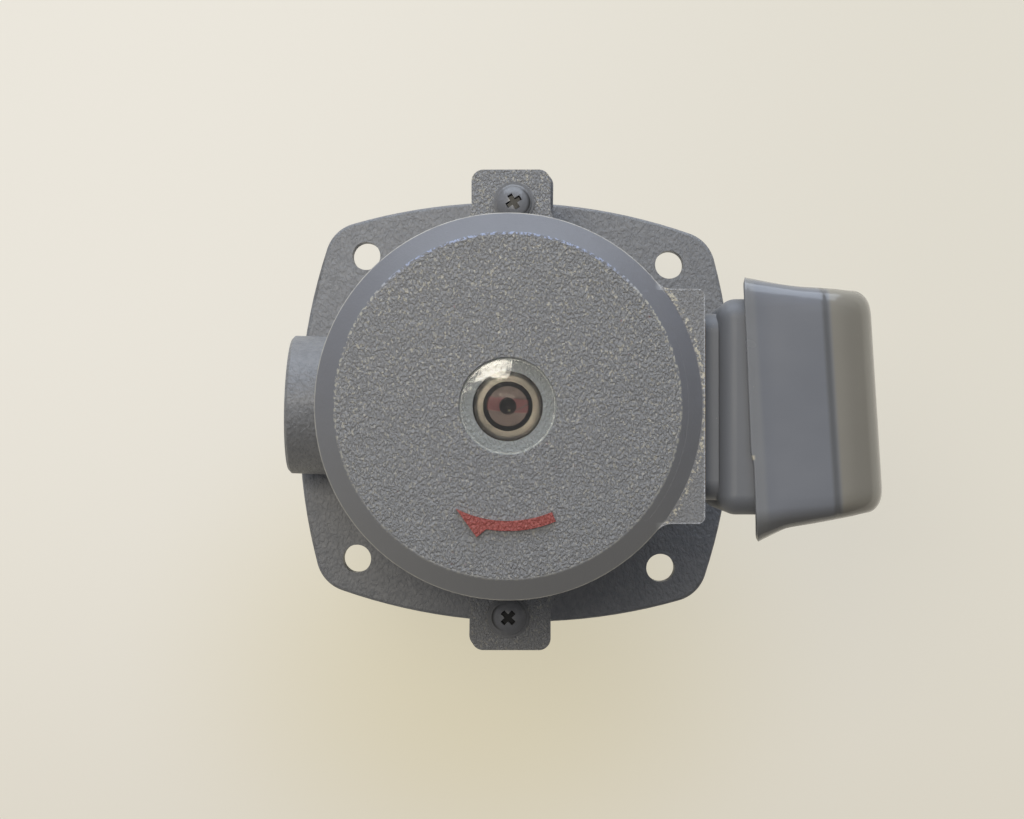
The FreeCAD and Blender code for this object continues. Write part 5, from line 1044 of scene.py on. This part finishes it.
def cover_loop(reach):
    """One loop round the cover: points (reach, across, tall) at one nominal reach."""
    def flare(most, along, power):
        return most * max(1.0 - reach / along, 0.0) ** power

    to_front = REACH - reach
    front_round = bend_in(to_front, SIDE_ROUND)
    crease = 0.5 * eased((reach - 22.9) / 1.7)
    high = HALF_TALL - bend_in(to_front, SHOULDER) - crease + flare(0.9, 7.0, 2)
    low = HALF_TALL - bend_in(to_front, LOW_SHOULDER) + flare(0.5, 6.0, 2)
    wide = HALF_WIDE - reach * SIDE_DRAFT - front_round
    left = wide + flare(1.7, 18.0, 1.3)
    right = wide - 0.4 * min(reach / 9.0, 1.0) + flare(2.0, 9.0, 1.2)
    corner = max(SIDE_ROUND - 0.5 * front_round, 1.5)
    points = []
    for number in range(COUNT):
        turn = 2.0 * math.pi * (number + 0.5) / COUNT
        c, s = math.cos(turn), math.sin(turn)
        side, height = (left if c > 0 else right), (high if s > 0 else low)
        # The ray through the loop's middle meets a side, then slides round the corner
        flat_x, flat_z = side - corner, height - corner
        scale = min(side / max(abs(c), 1e-9), height / max(abs(s), 1e-9))
        across, tall = abs(c) * scale, abs(s) * scale
        if across > flat_x and tall > flat_z:
            share = math.atan2(tall - flat_z, across - flat_x)
            across = flat_x + corner * math.cos(share)
            tall = flat_z + corner * math.sin(share)
        across, tall = math.copysign(across, c), math.copysign(tall, s)
        rim = (HALF_TALL - tall) * RIM_LEAN + rim_bow(across)
        place = rim + reach * (1.0 - rim / 20.0) if reach < 20.0 else reach
        points.append((place, across, tall))
    return points


# %% Skins, tools and modifiers
def between(rows):
    """Faces between closed rows of point numbers, each row joined to the next."""
    faces = []
    for below, above in zip(rows, rows[1:]):
        for number in range(len(below)):
            after = (number + 1) % len(below)
            loop = (below[number], below[after], above[after], above[number])
            faces.append(tuple(dict.fromkeys(loop)))
    return faces


def merged(piece, outwards=True):
    """Merge the points that meet, and turn every face to the outer side."""
    skin = bmesh.new()
    skin.from_mesh(piece.data)
    bmesh.ops.remove_doubles(skin, verts=skin.verts, dist=1e-6)
    if outwards:
        bmesh.ops.recalc_face_normals(skin, faces=skin.faces)
    skin.to_mesh(piece.data)
    skin.free()
    return piece


def closed_tool(name, foot, head, finish):
    """A closed tool between two loops of points, the foot and the head."""
    count = len(foot)
    rows = [list(range(count)), list(range(count, 2 * count))]
    return merged(new_piece(name, foot + head, between(rows) + [rows[0][::-1], rows[1]], finish))


def boolean(piece, tools, operation):
    """Give the piece an exact Boolean for each tool."""
    for tool in tools:
        step = piece.modifiers.new(tool.name, "BOOLEAN")
        step.operation = operation
        step.solver = "EXACT"
        step.object = tool


def bake(piece, tools=()):
    """Make the modifiers' result the piece's own mesh, and drop the tools."""
    mesh = baked_mesh(piece)
    piece.modifiers.clear()
    piece.data = mesh
    for tool in tools:
        bpy.data.objects.remove(tool)
    print(piece.name, len(mesh.polygons), "faces")


def shade(piece, degrees):
    """Smooth shading, but for the edges that are sharper than an angle."""
    piece.data.shade_smooth()
    piece.data.set_sharp_from_angle(angle=math.radians(degrees))


# %% Skin the cover, then give it its sheet, holes and worn edge
REACHES = [0.0, 0.6, 1.3, 2.0, 2.8, 3.7, 4.7, 5.8, 7.0, 8.3, 9.8, 11.5, 13.4, 15.5, 17.7, 20.0,
           21.5, 22.2, 22.8, 23.3, 23.8, 24.3, 24.8, 25.4, 26.2, 27.4, 28.7, 30.0, 31.4, 32.8,
           34.2, 35.3, 36.2, 37.0, 37.7, 38.3, 38.8, 39.2, 39.5, 39.7, REACH]
points = [on_cover(*spot) for reach in REACHES for spot in cover_loop(reach)]
rows = [list(range(first, first + COUNT)) for first in range(0, len(points), COUNT)]
rows.append([len(points)] * COUNT)
points.append(on_cover(REACH, 0.0, 0.0))
cover = merged(new_piece("drawn_box_cover", points, between(rows), cover_paint))


def bar_through(name, start, end, radius):
    """A round bar between two points, as a tool to cut a hole with."""
    turn = (end - start).to_track_quat("Z", "Y").to_matrix()
    ring = [turn @ Vector((math.cos(a), math.sin(a), 0.0)) * radius
            for a in (2.0 * math.pi * n / 64 for n in range(64))]
    return closed_tool(name, [start + spot for spot in ring], [end + spot for spot in ring],
                       cover_paint)


holes = [bar_through("entry_tool", on_cover(21.6, 0.0, -45.0), on_cover(21.6, 0.0, -30.0),
                     11.1 * MM),
         bar_through("screw_tool", on_cover(30.0, 0.0, 0.0), on_cover(45.0, 0.0, 0.0),
                     2.25 * MM)]
sheet = cover.modifiers.new("sheet", "SOLIDIFY")
sheet.thickness = 1.2 * MM
sheet.offset = -1.0
sheet.use_even_offset = True
boolean(cover, holes, "DIFFERENCE")
worn = cover.modifiers.new("worn", "BEVEL")
worn.width = 0.3 * MM
worn.segments = 2
worn.limit_method = "ANGLE"
worn.angle_limit = math.radians(50)
bake(cover, holes)
shade(cover, 40)
settle(cover, "conduit_box_cover")

# %% [markdown]
# ## The pad on the motor
#
# The flat pad that carries the conduit box meets the can just under its bevel, with
# worn, rounded corners, and a fillet runs from the can's wall into each of its sides.
# In the solids the pad's top stands four millimetres higher and cuts into the bevel.
# So the housing's mesh is copied here, a ring is cut away along the bevel's slope, the
# two front corners are rounded, and a small prism is joined to each inner corner.
# Tools stop a few hundredths of a millimetre clear of a surface that stays, because
# two surfaces in one place confuse a Boolean. The copy drops the normals that came
# with the solid, since merging its points would leave them on the wrong corners.

# %% Tools for the housing
PAD_TOP = CAN_TOP - 6.0 * MM
PAD_FOOT = CAN_TOP - 86.0 * MM
CORNER = 2.2 * MM
FILLET = 6.0 * MM
CAN_RADIUS = 58.5 * MM
RING_RADIUS = 80.0 * MM
CLEAR = 0.04 * MM
BEVEL_SLOPE = 6.5 / 6.0


def turned(name, profile, steps, finish):
    """Turn a half profile of (radius, height) points about the shaft's axis."""
    points, rows = [], []
    for radius, height in profile:
        count = steps if radius else 1
        ring = [len(points) + number for number in range(count)]
        rows.append(ring * (steps // count))
        for turn in (2.0 * math.pi * number / steps for number in range(count)):
            points.append((radius * math.cos(turn), radius * math.sin(turn), height))
    return merged(new_piece(name, points, between(rows), finish))


def ring_tool(name, profile, steps):
    """A closed ring about the shaft's axis from a closed outline of (radius, height)."""
    points = [(radius * math.cos(turn), radius * math.sin(turn), height)
              for turn in (2.0 * math.pi * number / steps for number in range(steps))
              for radius, height in profile]
    size = len(profile)
    faces = []
    for number in range(steps):
        here, after = number * size, (number + 1) % steps * size
        for corner in range(size):
            beyond = (corner + 1) % size
            faces.append((here + corner, after + corner, after + beyond, here + beyond))
    return merged(new_piece(name, points, faces, housing_paint))


def prism(name, plan, side, low, high):
    """An upright prism from a plan in the motor's own frame; side mirrors it."""
    points = [with_motor(x / MM, side * y / MM, height / MM)
              for height in (low, high) for x, y in plan]
    count = len(plan)
    rows = [tuple(range(count)), tuple(range(count, 2 * count))]
    return merged(new_piece(name, points, between(rows) + rows, housing_paint))


def arc(x, y, radius, first, last, steps):
    """Points along an arc, as (x, y)."""
    turns = (first + (last - first) * step / steps for step in range(steps + 1))
    return [(x + radius * math.cos(turn), y + radius * math.sin(turn)) for turn in turns]


# %% Plans of the corners and the fillets, and the ring's outline
reach = math.sqrt((CAN_RADIUS + FILLET) ** 2 - (PAD_SIDE + FILLET) ** 2)
meets = -math.pi + math.atan2(PAD_SIDE + FILLET, reach)
fillet_plan = arc(reach, PAD_SIDE + FILLET, FILLET, -math.pi / 2, meets, 12)
fillet_plan += [(reach * 0.87, PAD_SIDE), (reach, PAD_SIDE - 0.5 * MM)]
past_face, past_side = PAD_FACE + 1.0 * MM, PAD_SIDE + 1.0 * MM
corner_plan = arc(PAD_FACE - CORNER, PAD_SIDE - CORNER, CORNER, math.radians(2),
                  math.radians(88), 8)
corner_plan += [(PAD_FACE - CORNER, past_side), (past_face, past_side),
                (past_face, PAD_SIDE - CORNER)]
above_pad = 4.3 * MM
ring_top = PAD_TOP + 6.0 * MM
tip = CAN_RADIUS + CLEAR - above_pad * BEVEL_SLOPE
ring_outline = [(CAN_RADIUS + CLEAR, PAD_TOP), (RING_RADIUS, PAD_TOP), (RING_RADIUS, ring_top),
                (tip, ring_top), (tip, PAD_TOP + above_pad)]
print("Fillet plan:", len(fillet_plan), "points; corner plan:", len(corner_plan))

# %% Cut the pad down, round its corners and join the fillets
housing = linked("motor_housing_pad_cut", frame["nodes"]["motor_housing"].data.copy())
if "custom_normal" in housing.data.attributes:
    housing.data.attributes.remove(housing.data.attributes["custom_normal"])
merged(housing, outwards=False)
cutters = [ring_tool("pad_ring", ring_outline, 256)]
cutters += [prism("corner_tool", corner_plan, side, PAD_FOOT - 8.0 * MM, ring_top)
            for side in (1.0, -1.0)]
boolean(housing, cutters, "DIFFERENCE")
bake(housing, cutters)
fillets = [prism("fillet", fillet_plan, side, PAD_FOOT, PAD_TOP - CLEAR)
           for side in (1.0, -1.0)]
boolean(housing, fillets, "UNION")
bake(housing, fillets)
housing.data.materials.clear()
housing.data.materials.append(housing_paint)
flats = housing.modifiers.new("flats", "WEIGHTED_NORMAL")
flats.keep_sharp = True
shade(housing, 35)
bake(housing)
settle(housing, "motor_housing")

# %% [markdown]
# ## The sight window
#
# The window is a clear disc pressed into the recess over the shaft's end, with a small
# round at its upper rim that catches the light as a thin ring. It is turned from half
# a profile. It sits a hair above the ledge, because two surfaces in the same place
# would hide each other, and then the ledge's paint is seen through the clear disc. A
# narrow ring beside each edge keeps the flat faces flat where the shading turns.

# %% Turn the window from its half profile
DISC_ROUND = 0.45 * MM
LOWER_EDGE = 0.2 * MM
NARROW = 0.03 * MM
low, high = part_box("sight_window")
wide = (high.x - low.x) / 2
foot, head = low.z + 0.08 * MM, high.z - 0.02 * MM
profile = [(0.0, foot), (wide - LOWER_EDGE - NARROW, foot), (wide - LOWER_EDGE, foot),
           (wide, foot + LOWER_EDGE), (wide, head - DISC_ROUND - NARROW)]
profile += arc(wide - DISC_ROUND, head - DISC_ROUND, DISC_ROUND, 0.0, math.pi / 2, 5)
profile += [(wide - DISC_ROUND - NARROW, head), (0.0, head)]
window = turned("sight_window_disc", profile, 128, finishes["clear_window"])
shade(window, 35)
settle(window, "sight_window")
